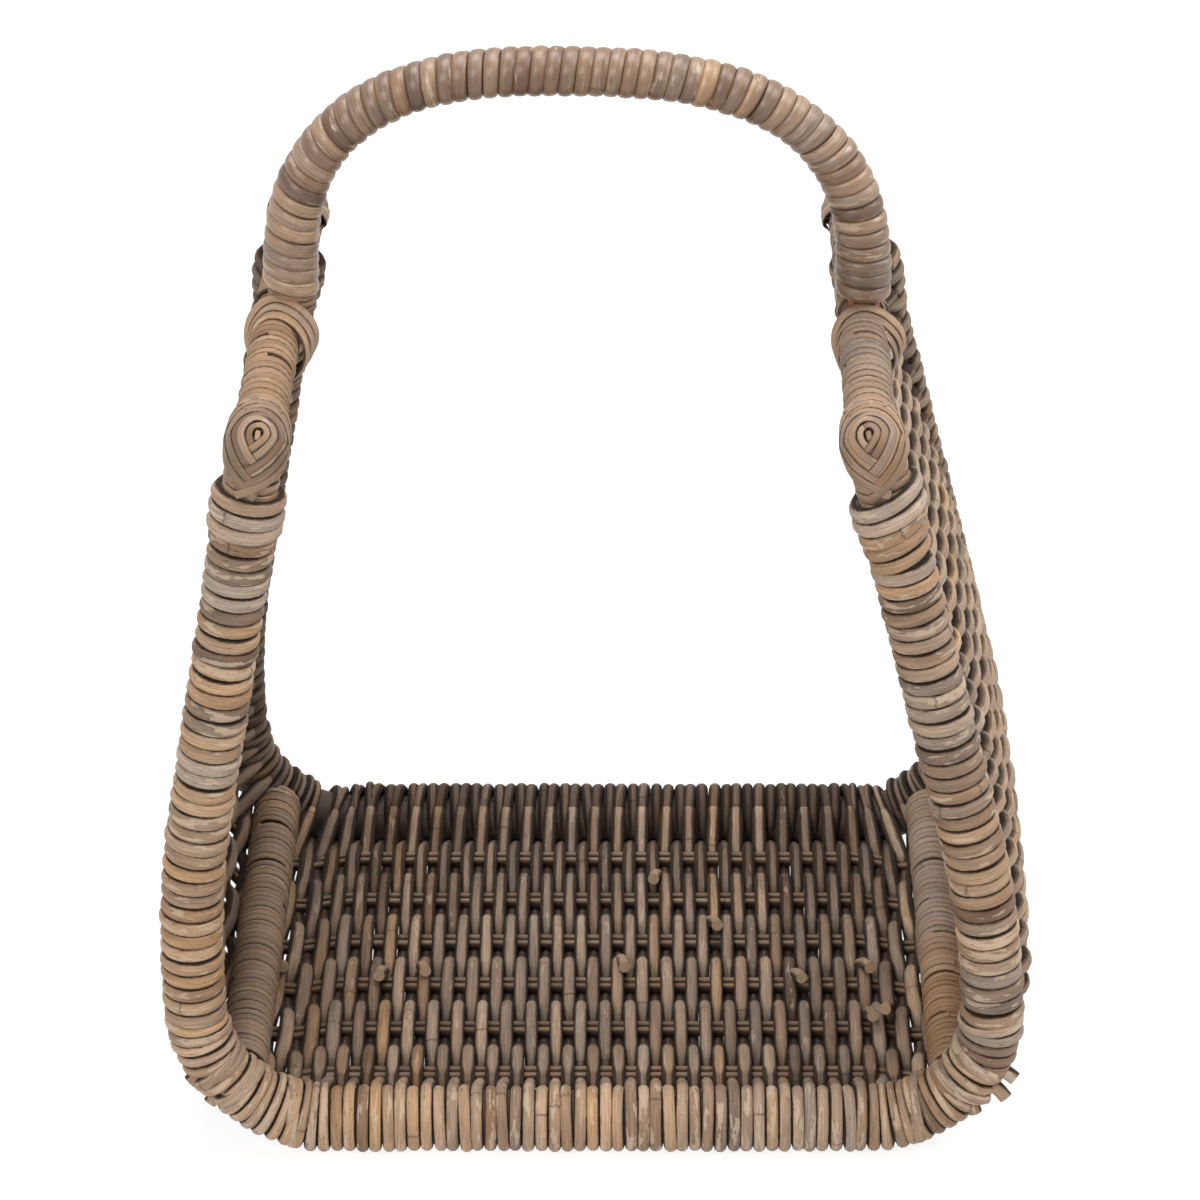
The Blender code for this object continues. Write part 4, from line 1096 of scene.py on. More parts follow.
def weave_everything(sizes):
    """Weaves each long cane over and under the stakes and round both rims."""
    rails = {end: frame_rail(end) for end in (FRONT, BACK)}
    heaps = {name: Strands(seed) for name, seed in
             (("front", 11), ("back", 12), ("floor", 13), ("left", 14), ("right", 15))}
    chance = np.random.RandomState(21)
    gaps = STAKE_COUNT - 1
    shares = np.linspace(stake_share(0), stake_share(gaps), gaps * WAVE_SAMPLES + 1)
    for number, station in enumerate(weaver_stations(sizes)):
        parity = 1 if number % 2 else -1
        along = rails[BACK].place(rails[BACK].walk_at(station))[1]
        woven, wave = weave_length(station, parity, shares, along, sizes, chance)
        ends = {}
        for end, last, inside in ((FRONT, woven[0], parity > 0), (BACK, woven[-1], parity < 0)):
            rail = rails[end]
            ends[end] = turn_round(rail, rail.walk_at(station), end, last, inside, sizes, chance)
        shade = strand_shade(station, chance)
        depths = weave_depths(station, parity, shares, woven, wave)
        lay_weaver(heaps, station, parity, woven, ends, shade, depths, sizes, chance)
    stick_out_ends(heaps["floor"], sizes)
    wind_stray_turns(heaps["front"], rails[FRONT], sizes)
    leave_loose_ends(heaps["front"], sizes)
    return heaps


def strand_shade(station, chance):
    """Tone and warmth of a weaver: paler up the right side, darker up the left one."""
    paler = 0.0 if abs(station) < 2.2 else (0.20 if station > 0 else -0.06)
    tone = drawn(chance, 0.46 + paler, 0.12, 0.1, 0.9)
    warmth = drawn(chance, 0.22, 0.12)
    if chance.uniform() < 0.07:
        warmth += 0.35
    return tone, warmth


def lay_weaver(heaps, station, parity, woven, ends, shade, depths, sizes, chance):
    """Lays one weaver: its turn round the front rim, its length and its turn round the back."""
    front_run, front_turn, front_radial, front_widths = ends[FRONT]
    back_run, back_turn, back_radial, back_widths = ends[BACK]
    path = np.vstack((front_turn[::-1], front_run[::-1], woven, back_run, back_turn))
    free = np.ones(len(path))
    free[: len(front_turn) - 2] = 0
    free[-(len(back_turn) - 2):] = 0
    path = ease(path, free)
    between = len(front_run) + len(woven) + len(back_run)
    plain = np.broadcast_to(-outward_at(station), (between, 3))
    outs = np.vstack((front_radial[::-1], plain, back_radial))
    cane = sizes.cane_radius * (1 + chance.normal(0, 0.03))
    body = np.full(between, cane * blend(1.0, SIDE_WIDENING, abs(station) - SIDE_START))
    wider = 1 + CORNER_WIDENING * near_corner(station, 1.4, 0.6)
    widths = np.concatenate((front_widths[::-1], body * wider, back_widths))
    turn = np.full(TURN_SAMPLES, sizes.wrap_half_thick)
    thick = np.concatenate((turn, body, turn))
    on_floor = abs(station) < FLOOR_EDGE
    # Painted shade beside the rims and on the turn round the back rim, for lying deep
    front_deep, back_deep = INSIDE_DEPTHS if parity > 0 else OUTSIDE_DEPTHS
    if not on_floor and parity < 0:
        back_deep = 0.0
    turn_deep = back_deep * BACK_TURN_DEPTH_SHARE if on_floor else SIDE_TURN_DEPTH
    run = np.ones(len(RUN_SHARES))
    hollow, behind = (np.concatenate((0 * turn, front_deep * run, row, back_deep * run,
                                      np.full(TURN_SAMPLES, turn_deep))) for row in depths)
    begin = chance.uniform(0, 40)
    first, last = TURN_SAMPLES - 1, len(path) - TURN_SAMPLES
    parts = (("front", 0, first + 1), (cradle_heap(station), first, last + 1),
             ("back", last, len(path)))
    for heap, start, stop in parts:
        tone, warmth = rim_shade(station, heap, *shade, chance)
        walk = begin + float(np.linalg.norm(np.diff(path[: start + 1], axis=0), axis=1).sum())
        part = slice(start, stop)
        heaps[heap].lay(path[part], outs[part], widths[part], thick[part], tone, warmth,
                        begin=walk, hollow=hollow[part], behind=behind[part],
                        clean_flanks=abs(station) > SIDE_START)


def stick_out_ends(heap, sizes):
    """Cut ends of cane that stand a little out of the floor's weave."""
    radius = sizes.cane_radius * CUT_END_THINNING
    for x, y, rise, length, aside, tone, warmth in CUT_ENDS:
        foot = np.array((x - aside * length, y + length, RIM_HEIGHT + CUT_END_SUNK))
        tip = np.array((x, y, RIM_HEIGHT + rise))
        lay_cut_end(heap, foot, tip, 0.0012, (0, 0, 1), radius, tone, warmth)


def lay_cut_end(heap, foot, tip, bow, outward, radius, tone, warmth):
    """Lays a short cane from its foot up to its cut tip, bowed a little upwards."""
    path = [foot + (tip - foot) * share + np.array((0, 0, bow)) * math.sin(math.pi * share)
            for share in np.linspace(0, 1, 7)]
    heap.lay(path, outward, radius, radius, tone, warmth, cut=(False, True))


def wind_stray_turns(heap, rail, sizes):
    """Winds the loose outer turns that cross the neat ones round the front corners."""
    for station, slant, proud, first, last, tone, warmth in STRAY_TURNS:
        angles = np.radians(np.linspace(first, last, STRAY_SAMPLES))
        walks = rail.walk_at(station) + slant * np.linspace(-0.5, 0.5, STRAY_SAMPLES)
        middle, along, outward, _ = rail.place(walks)
        endward = np.cross(along, outward)
        endward = unit(endward * np.sign(-endward[:, 1:2]))
        radial = around(angles, endward, -outward)
        sunk = STRAY_SUNK * np.clip(1 - shares_of(angles) / 0.15, 0, 1)
        radius = wrap_radius(station) - CORNER_TUCK + proud - sizes.wrap_half_thick - sunk
        points = middle + radial * radius[:, None]
        points[:, 1] = np.maximum(points[:, 1], sizes.wrap_half_thick - REACH[1])
        points[:, 2] = np.maximum(points[:, 2], sizes.wrap_half_thick + 2 * GROUND_GAP)
        heap.lay(points, radial, STRAY_HALF_WIDTH, sizes.wrap_half_thick, tone, warmth,
                 cut=(False, True))


def leave_loose_ends(heap, sizes):
    """Cut ends that hang off the front corners."""
    for x, y, z, lean, drop, tone, warmth in LOOSE_ENDS:
        tip = np.array((x, y, z))
        foot = tip - unit((lean, -LOOSE_END_FORWARD, -drop)) * LOOSE_END_LENGTH
        lay_cut_end(heap, foot, tip, 0.0015, (0, -1, 0), sizes.cane_radius, tone, warmth)


def cradle_heap(station):
    """The part of the cradle that a weaver belongs to."""
    return "floor" if abs(station) < CORNER_MIDDLE else SIDE_NAMES[side_of(station)]


def rim_shade(station, heap, tone, warmth, chance):
    """A strand's tone and warmth in its heap: paler and warmer on the front rim, darker on the back
    one with painted shade.
    """
    side = side_of(station)
    # Painted shade: turns round the back rim along the floor are darkened, as they lie in shade
    if heap == "back":
        beyond = 0.08 if abs(station) < FLOOR_EDGE else (-0.06 if side == LEFT else 0.02)
        return blend(tone - 0.24, tone + beyond, (abs(station) - 1.0) / 0.2), warmth
    if heap != "front":
        return tone, warmth
    height = frame_point(side, FRONT, abs(station))[2]
    near = min(UPRIGHT_TONES[side], key=lambda entry: abs(entry[0] - height))
    if abs(near[0] - height) < UPRIGHT_TONE_REACH and abs(station) > SIDE_START:
        return near[1] + chance.normal(0, 0.04), near[2] + chance.normal(0, 0.05)
    run = math.sin(station * 9.1 + 1.3) * 0.5 + math.sin(station * 23.7) * 0.5
    heat = math.sin(station * 5.3 + 0.4) * 0.6 + math.sin(station * 17.9 + 2.0) * 0.4
    paler = 0.06 if side == LEFT else -0.04
    tone = drawn(chance, 0.52 + paler + 0.14 * run, 0.12, 0.1, 1.0)
    return tone, drawn(chance, 0.5 + 2 * paler + 0.25 * heat, 0.15)


def wind_finely(heap, rail, start, finish, radius, sizes, tones, spacings):
    """Winds peel round a straight pole, closer or wider from stretch to stretch."""
    bounds = np.linspace(start, finish, len(spacings) + 1)
    shades = tones if isinstance(tones[0], tuple) else (tones,) * len(spacings)
    for first, last, spacing, shade in zip(bounds[:-1], bounds[1:], spacings, shades):
        reach = last - first - heap.chance.uniform(0, 0.1) * sizes.fine_pitch
        turns = max(int(round(reach / (sizes.fine_pitch * spacing))), 1)
        angles = np.linspace(0, 2 * math.pi * turns, turns * 18) + heap.chance.uniform(0, 6)
        middle, along, outward, sideways = rail.place(first + reach * shares_of(angles))
        tilt = heap.chance.normal(0, 0.05) * radius
        ripple = 0.0002 * np.sin(angles * heap.chance.uniform(0.2, 0.45)
                                 + heap.chance.uniform(0, 6))
        radial = around(angles, outward, sideways)
        points = middle + radial * (radius - sizes.fine_half_thick + ripple)[:, None]
        points += along * (tilt * np.sin(angles + 1.0))[:, None]
        tone = drawn(heap.chance, shade[0], 0.035)
        warmth = drawn(heap.chance, shade[1], 0.05)
        heap.lay(points, radial, reach / turns / 2, sizes.fine_half_thick, tone, warmth,
                 sides=8, squareness=0.8)


def wind_handle(sizes):
    """Winds thick cane round the handle's pole."""
    rail = handle_rail()
    heap = Strands(31)
    angles = np.linspace(-HANDLE_HALF_TURN, HANDLE_HALF_TURN, 30)
    walk = sizes.handle_start + FOOT_STEP[LEFT]
    while walk < rail.length - sizes.handle_start - FOOT_STEP[RIGHT]:
        height = rail.place(walk)[0][2]
        share = (height - BAR_HEIGHT - HANDLE_SPRING) / (HANDLE_HEIGHT - BAR_HEIGHT)
        full = blend(HANDLE_FOOT_RADIUS, HANDLE_TOP_RADIUS, share / 0.8)
        radius = full - sizes.handle_half_thick + heap.chance.uniform(-0.0003, 0.0002)
        walks = walk + sizes.handle_pitch * 0.5 * angles / HANDLE_HALF_TURN
        middle, along, outward, sideways = rail.place(walks)
        radial = around(angles, outward, sideways)
        tuck = HANDLE_TUCK * np.clip((np.abs(angles) - 2.7) / 0.7, 0, 1)
        tilt = heap.chance.normal(0, 0.02)
        slant = 0.13 * (1 - smooth(walk / 0.2))
        slide = radius * (tilt * np.sin(angles) + slant * np.cos(angles))
        points = middle + radial * (radius - tuck)[:, None] + along * slide[:, None]
        crowd = np.clip(1 + rail.curve_at(walk) * radius * np.cos(angles), 0.8, 1.1)
        widths = sizes.handle_half_width * crowd * (1 + heap.chance.normal(0, 0.03))
        paler = 0.16 * (1 - smooth(walk / 0.16))
        tone = drawn(heap.chance, 0.22 + paler, 0.1)
        warmth = drawn(heap.chance, 0.54, 0.12)
        heap.lay(points, radial, widths, sizes.handle_half_thick, tone, warmth,
                 sides=12, squareness=0.86)
        walk += sizes.handle_pitch * (1 + heap.chance.normal(0, 0.02))
    return heap


def cap_point(side, end, aside, rise, lift):
    """A point on the rounded corner where a bar meets its upright, and the outward way there.

    Aside and rise are lengths over the surface from the eye of the lacing: over the top they
    run on along the bar, and below they run on down the upright.
    """
    corner = frame_point(side, end, TOP_STATION)
    start, finish = bar_ends(side)
    back = unit(finish - start) * (1 if end == FRONT else -1)
    up = unit(corner - frame_point(side, end, TOP_STATION - 0.4))
    across = unit(np.cross(back, up))
    ahead = unit(np.cross(across, up)) * (1 if np.dot(np.cross(across, up), back) < 0 else -1)
    radius = CAP_RADIUS + lift
    angle = CAP_EYE_ANGLE + rise / CAP_RADIUS
    bend_top = math.pi / 2
    clear = min(max(angle, 0.0), bend_top)
    middle = corner + (back * max(angle - bend_top, 0) - up * max(-angle, 0)) * CAP_RADIUS
    level = math.cos(clear) * ahead + math.sin(clear) * up
    turn = aside / CAP_RADIUS
    normal = unit(math.cos(turn) * level + math.sin(turn) * across)
    return middle + ahead * CAP_FORWARD + normal * radius, normal


def cap_chart(way, first, wide, high, deep):
    """A band's way over a cap, as places aside of the eye and above it."""
    reach = math.radians(114 if first else 84)
    chart = [(way * math.cos(angle) * wide, math.sin(angle) * high)
             for angle in np.linspace(reach, 0, 12)]
    for share in np.linspace(0, 1, 14)[1:]:
        bow = 1 - share ** 1.25 + 0.10 * math.sin(math.pi * share)
        chart.append((way * wide * bow - 0.0012 * share, -deep * share))
    chart = np.array(chart)
    step = unit(chart[-1] - chart[-3])
    return np.vstack((chart, [chart[-1] + step * stride for stride in BAND_TIP_STRIDES]))


def over_cap(side, end, chart, lift):
    """The points of a chart laid over a cap, and the outward ways there."""
    rows = [cap_point(side, end, aside, rise, lift) for aside, rise in chart]
    return np.array([row[0] for row in rows]), np.array([row[1] for row in rows])


def lace_cap(side, end, sizes, seed):
    """Laces flat peel over a bar's end: nested bands that cross in a point below the eye."""
    heap = Strands(seed)
    for number, band in enumerate(CAP_BANDS):
        for way in (LEFT, RIGHT) if number % 2 else (RIGHT, LEFT):
            first = (way == LEFT) == bool(number % 2)
            lift = sizes.peel_half_thick + 0.00022 * number + (0.0004 if first else 0.0)
            path, outs = over_cap(side, end, cap_chart(way, first, *band), lift)
            sink = np.zeros(len(path))
            sink[:4] = np.linspace(0.0005, 0, 4)
            sink[-2:] = 0.0003, 0.0007
            path = ease(path - outs * sink[:, None], np.ones(len(path)))
            tone = drawn(heap.chance, CAP_TONES[side], 0.08)
            warmth = drawn(heap.chance, 0.5, 0.12)
            width = sizes.peel_half_width * (1.0 if number else 0.75)
            heap.lay(path, outs, width, sizes.peel_half_thick, tone, warmth, squareness=0.75)
    eye = [(0.0, rise) for rise in np.linspace(0.0016, -0.0026, 6)]
    heap.lay(*over_cap(side, end, eye, -0.0004), 0.0015, 0.0006, 0.5, 0.4)
    rail = frame_rail(end)
    near, far = CAP_SKIRT
    skirt = (near, far) if side == LEFT else (rail.length - far, rail.length - near)
    wind_finely(heap, rail, *skirt, CAP_RADIUS + CAP_SKIRT_RISE, sizes, (0.46, 0.5), (1.0, 1.0))
    return heap


def lace_lashing(side, sizes):
    """Binds a foot of the handle to its bar with wide peel, in loops before and behind it."""
    heap = Strands(61 + side)
    start, finish = bar_ends(side)
    middle = (start + finish) / 2
    sideways, ahead, upward = np.eye(3)
    if side == LEFT:
        foot = (0.0085, sizes.handle_start + FOOT_STEP[side] - 0.0015)
        wind_finely(heap, handle_rail(), *foot, HANDLE_FOOT_RADIUS - 0.0022, sizes,
                    (0.3, 0.6), (0.9,))
    for end, away, drop, layer, bow_left, bow_right in LASHING_LOOPS:
        near, far = (end * (step + away) for step in LASHING_STEPS)
        top = np.array((0.0, near, LASHING_TOPS[side] - drop))
        low = np.array((0.0, far, -LASHING_LOW))
        centre, up = (top + low) / 2, (top - low) / 2
        tall = np.linalg.norm(up) + 0.0004 * layer
        angles = np.linspace(0, 2 * math.pi, 44) + math.pi / 4
        across = np.cos(angles)
        bow = np.where(across < 0, bow_left, bow_right)
        wide = (0.0122 + 0.0003 * layer) * (1 + (bow - 1) * np.abs(across) ** 1.5)
        skew = 0.0012 * layer * across * end
        points = (middle + centre + (across * wide)[:, None] * sideways
                  + (np.sin(angles) * tall)[:, None] * unit(up) + skew[:, None] * ahead)
        radial = unit(around(angles, sideways, upward) + 0.55 * end * ahead)
        tone = drawn(heap.chance, 0.42, 0.07)
        heap.lay(points, radial, 0.0024, 0.0009, tone, heap.chance.uniform(0.3, 0.6),
                 squareness=0.8)
    return heap


def lay_core(rail, walks, radii, seed, name, node):
    """Lays the bare pole inside a winding."""
    heap = Strands(seed)
    middle, _, outward, _ = rail.place(walks)
    heap.lay(middle, outward, radii, radii, 0.5, 0.5, sides=14)
    heap.make(name, pole_finish(), "rattan_pole", node)


# ---------------------------------------------------------------- what a user would change


def seen(red, green, blue):
    """A colour as it is seen on a screen, in the linear numbers that shaders take."""
    return tuple((part / 255) ** 2.2 for part in (red, green, blue))


def length(name, description, default):
    """A length property in metres."""
    return FloatProperty(name=name, description=description, default=default, min=0.0,
                         precision=4, unit="LENGTH", subtype="DISTANCE")


def colour(name, description, default):
    """A colour property."""
    return FloatVectorProperty(name=name, description=description, default=default,
                               subtype="COLOR", size=3, min=0.0, max=1.0)


class TrugSizes(bpy.types.PropertyGroup):
    """Sizes of the canes and how closely they lie."""

    cane_radius: length("Cane Radius", "Half the thickness of the weaving cane", 0.0033)
    floor_pitch: length("Floor Pitch", "Distance between weavers along the floor", 0.0059)
    corner_pitch: length("Corner Pitch", "Distance between weavers in the corners", 0.0053)
    side_pitch: length("Side Pitch", "Distance between weavers up the sides", 0.0071)
    wave_height: length("Wave Height", "How far a weaver swings to either side", 0.0056)
    wrap_width_share: FloatProperty(
        name="Wrap Width Share", default=0.515, min=0.3, max=0.6, subtype="FACTOR",
        description="Half the width of a turn as a share of the turns' spacing")
    wrap_half_thick: length(
        "Wrap Half Thickness", "Half the thickness of a turn round a rim", 0.0029)
    top_gap: length("Top Gap", "How far below the bars the weave ends", 0.0225)
    stake_half_width: length(
        "Stake Half Width", "Half the width of one cane of a stake", 0.0023)
    stake_half_thick: length(
        "Stake Half Thickness", "Half the thickness of one cane of a stake", 0.0021)
    fine_pitch: length("Fine Pitch", "Distance between turns of fine peel", 0.0041)
    fine_half_thick: length("Fine Half Thickness", "Half the thickness of the fine peel", 0.0011)
    peel_half_width: length("Peel Half Width", "Half the width of the peel on the caps", 0.0022)
    peel_half_thick: length("Peel Half Thickness", "Half the thickness of the flat peel", 0.00055)
    handle_pitch: length("Handle Pitch", "Distance between turns round the handle", 0.0067)
    handle_half_width: length(
        "Handle Half Width", "Half the width of a turn round the handle", 0.0036)
    handle_half_thick: length(
        "Handle Half Thickness", "Half the thickness of a turn round the handle", 0.0023)
    handle_start: length("Handle Start", "Height of the lowest turn above the bars", 0.0130)


class TrugColours(bpy.types.PropertyGroup):
    """Colours of the cane, the peel and the stage."""

    ashen_dark: colour("Ashen Dark", "Darkest of the greyed cane", seen(86, 69, 56))
    ashen_pale: colour("Ashen Pale", "Palest of the greyed cane", seen(192, 170, 151))
    honey_dark: colour("Honey Dark", "Darkest of the warm cane", seen(108, 74, 48))
    honey_pale: colour("Honey Pale", "Palest of the warm cane", seen(216, 172, 126))
    skin: colour("Skin", "Pale skin that flakes off the cane", seen(206, 182, 156))
    # Soil colour for specks and leaf-node rings, also used as painted shade between, under and
    # among the strands
    soil_and_shade: colour("Soil And Shade", "Dirt between strands", seen(40, 29, 21))
    cut_end: colour("Cut End", "Freshly cut ends", seen(176, 150, 120))
    core_dark: colour("Core Dark", "Dark streaks of the bare poles", seen(52, 36, 24))
    # Painted shade: the bare poles' pale streaks are kept dark, as the poles deep inside the
    # windings lie in shade
    core_pale: colour("Core Pale", "Pale streaks of the bare poles", seen(74, 55, 41))
    # Painted light: the same pole as lit, for the handle's bare feet
    core_orange: colour("Core Orange", "Pale streaks of the handle's bare feet", seen(178, 98, 58))
    floor: colour("Floor", "The floor of the stage", (0.82, 0.82, 0.82))


# ---------------------------------------------------------------- operators


class WeaveCradle(bpy.types.Operator):
    """Weave the floor and both sides, and turn every weaver round the rims."""

    bl_idname = "trug.weave_cradle"
    bl_label = "Weave Cradle and Rims"

    def execute(self, context):
        heaps = weave_everything(context.scene.trug_sizes)
        for heap, name, finish, slot, node in (
            ("front", "front_rim_turns", "rim_cane", "rattan_rim", "front_rim_binding"),
            ("back", "back_rim_turns", "shaded_back_rim_cane", "rattan_rim", "back_rim_binding"),
            ("floor", "floor_weavers", "weave_cane", "rattan_weave", "floor_weave"),
            ("left", "left_side_weavers", "weave_cane", "rattan_weave", "left_side_weave"),
            ("right", "right_side_weavers", "weave_cane", "rattan_weave", "right_side_weave"),
        ):
            heaps[heap].make(name, cane_finish(finish), slot, node)
        return {"FINISHED"}


class LayStakes(bpy.types.Operator):
    """Lay the pairs of thin canes that the weavers pass over and under."""

    bl_idname = "trug.lay_stakes"
    bl_label = "Lay Stakes"

    def execute(self, context):
        sizes = context.scene.trug_sizes
        limit = TOP_STATION - STAKE_TOP_GAP
        stretches = ((-limit, -SIDE_START, 30), (-SIDE_START, -1, 10), (-1, 1, 24),
                     (1, SIDE_START, 10), (SIDE_START, limit, 30))
        stations = [-limit]
        for stretch in stretches:
            stations.extend(np.linspace(*stretch)[1:])
        outs = np.array([outward_at(station) for station in stations])
        for number in range(STAKE_COUNT):
            heap = Strands(41 + number)
            for beside in (-1, 1):
                shift = beside * sizes.stake_half_width * STAKE_SPREAD / FLOOR_DEPTH
                share = stake_share(number) + shift
                path = np.array([weave_point(station, share) for station in stations])
                # Painted shade: the stakes' tones are kept low, as they lie in shade under the
                # weavers
                heap.lay(path, outs, sizes.stake_half_width, sizes.stake_half_thick,
                         heap.chance.uniform(0.26, 0.42), heap.chance.uniform(0.3, 0.5),
                         sides=8, squareness=0.8)
            name = f"stake_{number + 1}"
            heap.make(f"{name}_canes", cane_finish("stake_cane"), "rattan_stake", name)
        return {"FINISHED"}


class WindCorners(bpy.types.Operator):
    """Wind fine peel round the poles along the bottom corners."""

    bl_idname = "trug.wind_corners"
    bl_label = "Wind Corner Poles"

    def execute(self, context):
        sizes = context.scene.trug_sizes
        for side in (LEFT, RIGHT):
            rail = corner_rail(side)
            heap = Strands(51 + side)
            wind_finely(heap, rail, CORNER_WINDING_INSET, rail.length - CORNER_WINDING_INSET,
                        CORNER_WINDING_RADIUS, sizes, CORNER_SHADES[side], CORNER_SPACINGS)
            name = f"{SIDE_NAMES[side]}_corner"
            heap.make(f"{name}_winding", cane_finish("fine_winding"), "rattan_peel",
                      f"{name}_binding")
        return {"FINISHED"}


class WindBars(bpy.types.Operator):
    """Wind fine peel round the top bars, before and behind the handle."""

    bl_idname = "trug.wind_bars"
    bl_label = "Wind Top Bars"

    def execute(self, context):
        sizes = context.scene.trug_sizes
        for side in (LEFT, RIGHT):
            rail = bar_rail(side)
            middle = rail.length / 2
            stretches = ((FRONT, BAR_WINDING_INSET, middle - BAR_WINDING_GAP),
                         (BACK, middle + BAR_WINDING_GAP, rail.length - BAR_WINDING_INSET))
            for end, start, finish in stretches:
                heap = Strands(71 + 2 * side + end)
                spacings = BAR_SPACINGS[side] if end == FRONT else BAR_SPACINGS[side][::-1]
                wind_finely(heap, rail, start, finish, BAR_WINDING_RADIUS, sizes,
                            BAR_TONES[side], spacings)
                name = f"{SIDE_NAMES[side]}_bar_{END_NAMES[end]}"
                heap.make(f"{name}_winding", cane_finish("fine_winding"), "rattan_peel",
                          f"{name}_binding")
        return {"FINISHED"}


class LaceCaps(bpy.types.Operator):
    """Lace the woven caps over the four ends of the top bars."""

    bl_idname = "trug.lace_caps"
    bl_label = "Lace Caps"

    def execute(self, context):
        sizes = context.scene.trug_sizes
        for side in (LEFT, RIGHT):
            for end in (FRONT, BACK):
                heap = lace_cap(side, end, sizes, 81 + side + 3 * end)
                name = f"{SIDE_NAMES[side]}_{END_NAMES[end]}_cap"
                heap.make(f"{name}_lacing", cane_finish("flat_peel"), "rattan_peel", name)
        return {"FINISHED"}


class WindHandle(bpy.types.Operator):
    """Wind the handle with thick cane and lash its feet to the bars."""

    bl_idname = "trug.wind_handle"
    bl_label = "Wind and Lash Handle"

    def execute(self, context):
        sizes = context.scene.trug_sizes
        turns = wind_handle(sizes)
        turns.make("handle_turns", cane_finish("handle_cane"), "rattan_handle", "handle_binding")
        for side in (LEFT, RIGHT):
            name = f"{SIDE_NAMES[side]}_handle_lashing"
            bands = lace_lashing(side, sizes)
            bands.make(f"{name}_bands", cane_finish("flat_peel"), "rattan_peel", name)
        return {"FINISHED"}


class FinishPoles(bpy.types.Operator):
    """Lay the bare poles inside the windings and give the others their cane finish, the lit orange
    copy for the handle and the shaded brown one for the corner poles.
    """

    bl_idname = "trug.finish_poles"
    bl_label = "Finish Bare Poles"

    def execute(self, context):
        for end, name in END_NAMES.items():
            rail = frame_rail(end)
            walks = np.linspace(CORE_INSET, rail.length - CORE_INSET, 160)
            radii = [wrap_radius(rail.station(walk)) - CORE_DEPTH for walk in walks]
            lay_core(rail, walks, radii, 91 + end, f"{name}_pole_core", f"{name}_frame_pole")
        for side, name in SIDE_NAMES.items():
            rail = bar_rail(side)
            walks = np.linspace(BAR_CORE_INSET, rail.length - BAR_CORE_INSET, 12)
            lay_core(rail, walks, BAR_WINDING_RADIUS - BAR_CORE_DEPTH, 95 + side,
                     f"{name}_bar_core", f"{name}_top_bar")
        # Painted light and shade: the handle's pole takes the lit orange copy, the corner poles the
        # shaded brown one
        for name, finish in (("handle_pole", "lit_orange_pole"), ("left_corner_pole", "shaded_bare_pole"),
                             ("right_corner_pole", "shaded_bare_pole")):
            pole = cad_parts[name]
            pole.data.materials.clear()
            pole.data.materials.append(pole_finish(finish))
        return {"FINISHED"}


# ---------------------------------------------------------------- the stage and the panel


def sees_directly(tree):
    """1 for rays that show the stage itself, 0 for those that only bring its light."""
    rays = add_node(tree, "ShaderNodeLightPath", (0, 0)).outputs
    direct = math_node(tree, "MAXIMUM", (1, 0), rays["Is Camera Ray"], rays["Is Glossy Ray"])
    return math_node(tree, "MAXIMUM", (2, 0), direct, rays["Is Transmission Ray"])


def stage_material(floor_colour):
    """A white floor that still takes the basket's shadow."""
    material = bpy.data.materials.new("stage_floor")
    material.use_nodes = True
    tree = material.node_tree
    tree.nodes.clear()
    output = tree.nodes.new("ShaderNodeOutputMaterial")
    matt = add_node(tree, "ShaderNodeBsdfDiffuse", (3, 1), {"Color": opaque(floor_colour)})
    faint = add_node(tree, "ShaderNodeBsdfDiffuse", (3, 2), {"Color": (0.25, 0.25, 0.25, 1)})
    white = add_node(tree, "ShaderNodeEmission", (3, 3),
                     {"Color": (1, 1, 1, 1), "Strength": 0.86})
    both = add_node(tree, "ShaderNodeAddShader", (4, 2), {0: faint.outputs[0], 1: white.outputs[0]})
    mixed = add_node(tree, "ShaderNodeMixShader", (5, 1),
                     {0: sees_directly(tree), 1: matt.outputs[0], 2: both.outputs[0]})
    tree.links.new(mixed.outputs[0], output.inputs["Surface"])
    return material


def add_light(name, place, target, size, power):
    """A soft square lamp aimed at a point."""
    lamp = bpy.data.lights.new(name, "AREA")
    lamp.shape, lamp.size, lamp.energy = "SQUARE", size, power
    light = bpy.data.objects.new(name, lamp)
    light.location = place
    light.rotation_euler = (Vector(target) - Vector(place)).to_track_quat("-Z", "Y").to_euler()
    bpy.context.scene.collection.objects.link(light)


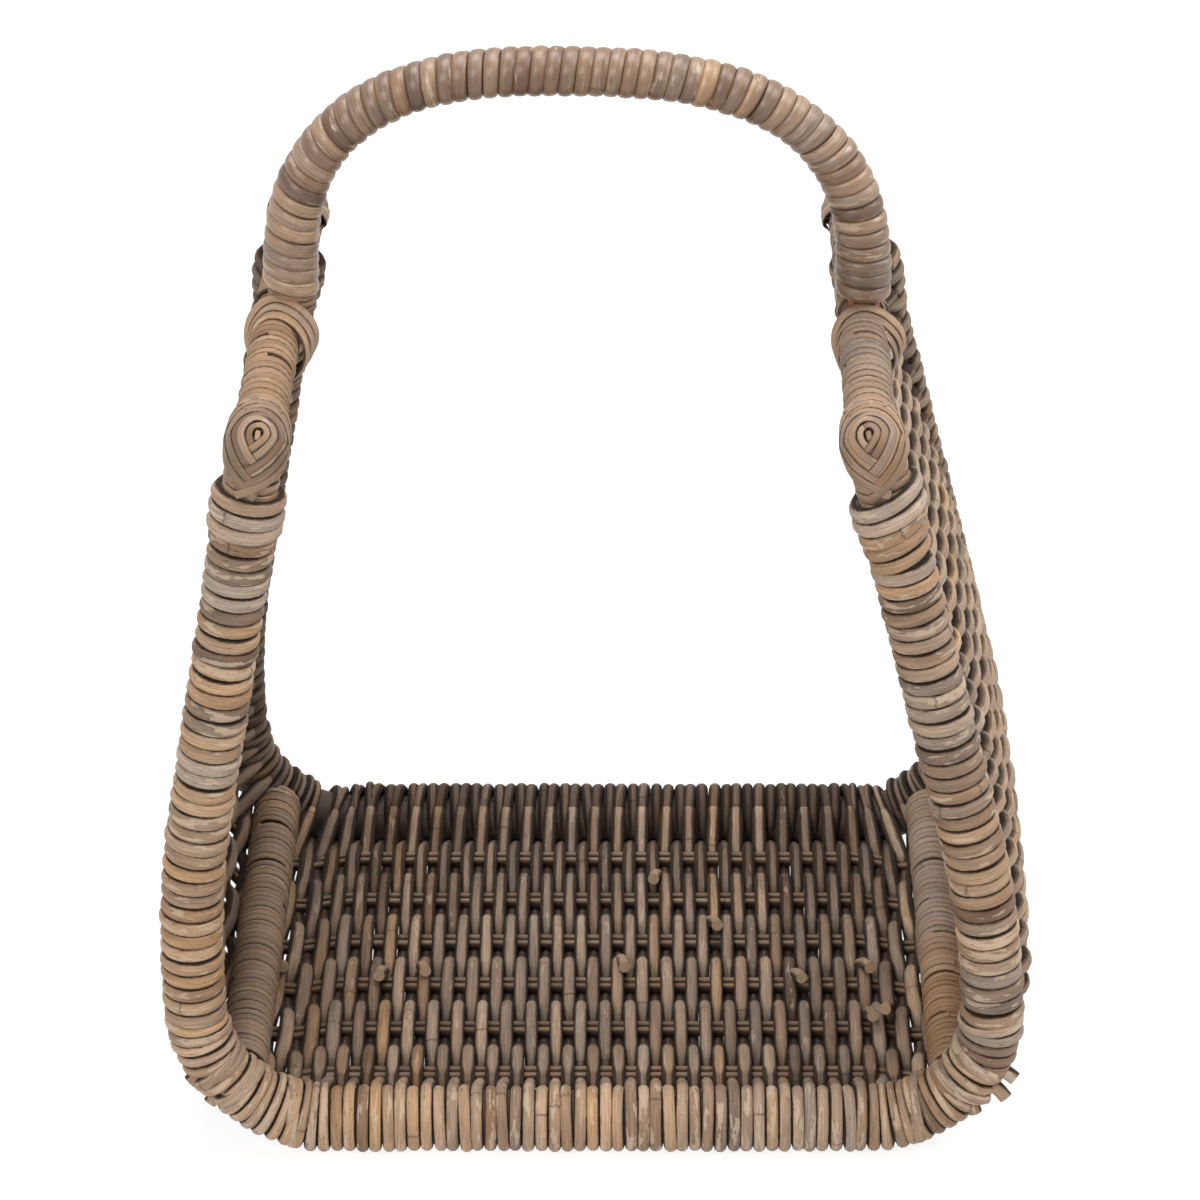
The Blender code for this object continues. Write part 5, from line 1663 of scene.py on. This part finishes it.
class SetStage(bpy.types.Operator):
    """Set the white floor, the soft lights, the world and the camera."""

    bl_idname = "trug.set_stage"
    bl_label = "Set Stage"

    def execute(self, context):
        scene = context.scene
        mesh = bpy.data.meshes.new("stage_floor")
        corners = [(x * STAGE_REACH, y * STAGE_REACH, 0)
                   for x, y in ((-1, -1), (1, -1), (1, 1), (-1, 1))]
        mesh.from_pydata(corners, [], [(0, 1, 2, 3)])
        floor = bpy.data.objects.new("stage_floor", mesh)
        scene.collection.objects.link(floor)
        floor.data.materials.append(stage_material(scene.trug_colours.floor))
        target = (0.0, 0.0, 0.2)
        add_light("front_softbox", (-0.8, -1.8, 1.6), target, 1.0, 26.0)
        add_light("right_softbox", (1.5, 0.0, 1.7), target, 1.2, 24.0)
        add_light("top_softbox", (-0.1, 0.4, 2.0), target, 1.1, 26.0)
        world = bpy.data.worlds.new("studio")
        world.use_nodes = True
        tree = world.node_tree
        tree.nodes.clear()
        output = tree.nodes.new("ShaderNodeOutputWorld")
        strength = math_node(tree, "MULTIPLY_ADD", (3, 0), sees_directly(tree), 0.65, 0.35)
        background = add_node(tree, "ShaderNodeBackground", (4, 0),
                              {"Color": (1, 1, 1, 1), "Strength": strength}).outputs[0]
        tree.links.new(background, output.inputs["Surface"])
        scene.world = world
        lens = bpy.data.cameras.new("camera")
        lens.lens, lens.sensor_width, lens.sensor_height = 162.0, 36.0, 36.0
        camera = bpy.data.objects.new("camera", lens)
        camera.location = (0.001408, -2.1426, 1.5060)
        camera.rotation_euler = (math.radians(59), 0, 0)
        scene.collection.objects.link(camera)
        scene.camera = camera
        scene.view_settings.view_transform = "Standard"
        return {"FINISHED"}


class TrugPanel(bpy.types.Panel):
    """The trug's operators, sizes and colours."""

    bl_idname = "VIEW3D_PT_trug"
    bl_label = "Rattan Trug"
    bl_space_type = "VIEW_3D"
    bl_region_type = "UI"
    bl_category = "Trug"

    def draw(self, context):
        for step in STEPS:
            self.layout.operator(step.bl_idname)
        for settings in (context.scene.trug_sizes, context.scene.trug_colours):
            box = self.layout.box()
            for label in settings.bl_rna.properties.keys():
                if label not in ("rna_type", "name"):
                    box.prop(settings, label)


STEPS = (SetStage, FinishPoles, WeaveCradle, LayStakes, WindCorners, WindBars, LaceCaps,
         WindHandle)
CLASSES = (TrugSizes, TrugColours) + STEPS + (TrugPanel,)


def register():
    for kind in CLASSES:
        bpy.utils.register_class(kind)
    bpy.types.Scene.trug_sizes = PointerProperty(type=TrugSizes)
    bpy.types.Scene.trug_colours = PointerProperty(type=TrugColours)


def unregister():
    del bpy.types.Scene.trug_colours
    del bpy.types.Scene.trug_sizes
    for kind in reversed(CLASSES):
        bpy.utils.unregister_class(kind)


def main():
    """Builds the whole dressed basket."""
    register()
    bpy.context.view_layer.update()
    bpy.ops.trug.set_stage()
    bpy.ops.trug.finish_poles()
    bpy.ops.trug.weave_cradle()
    bpy.ops.trug.lay_stakes()
    bpy.ops.trug.wind_corners()
    bpy.ops.trug.wind_bars()
    bpy.ops.trug.lace_caps()
    bpy.ops.trug.wind_handle()


if __name__ == "__main__":
    main()
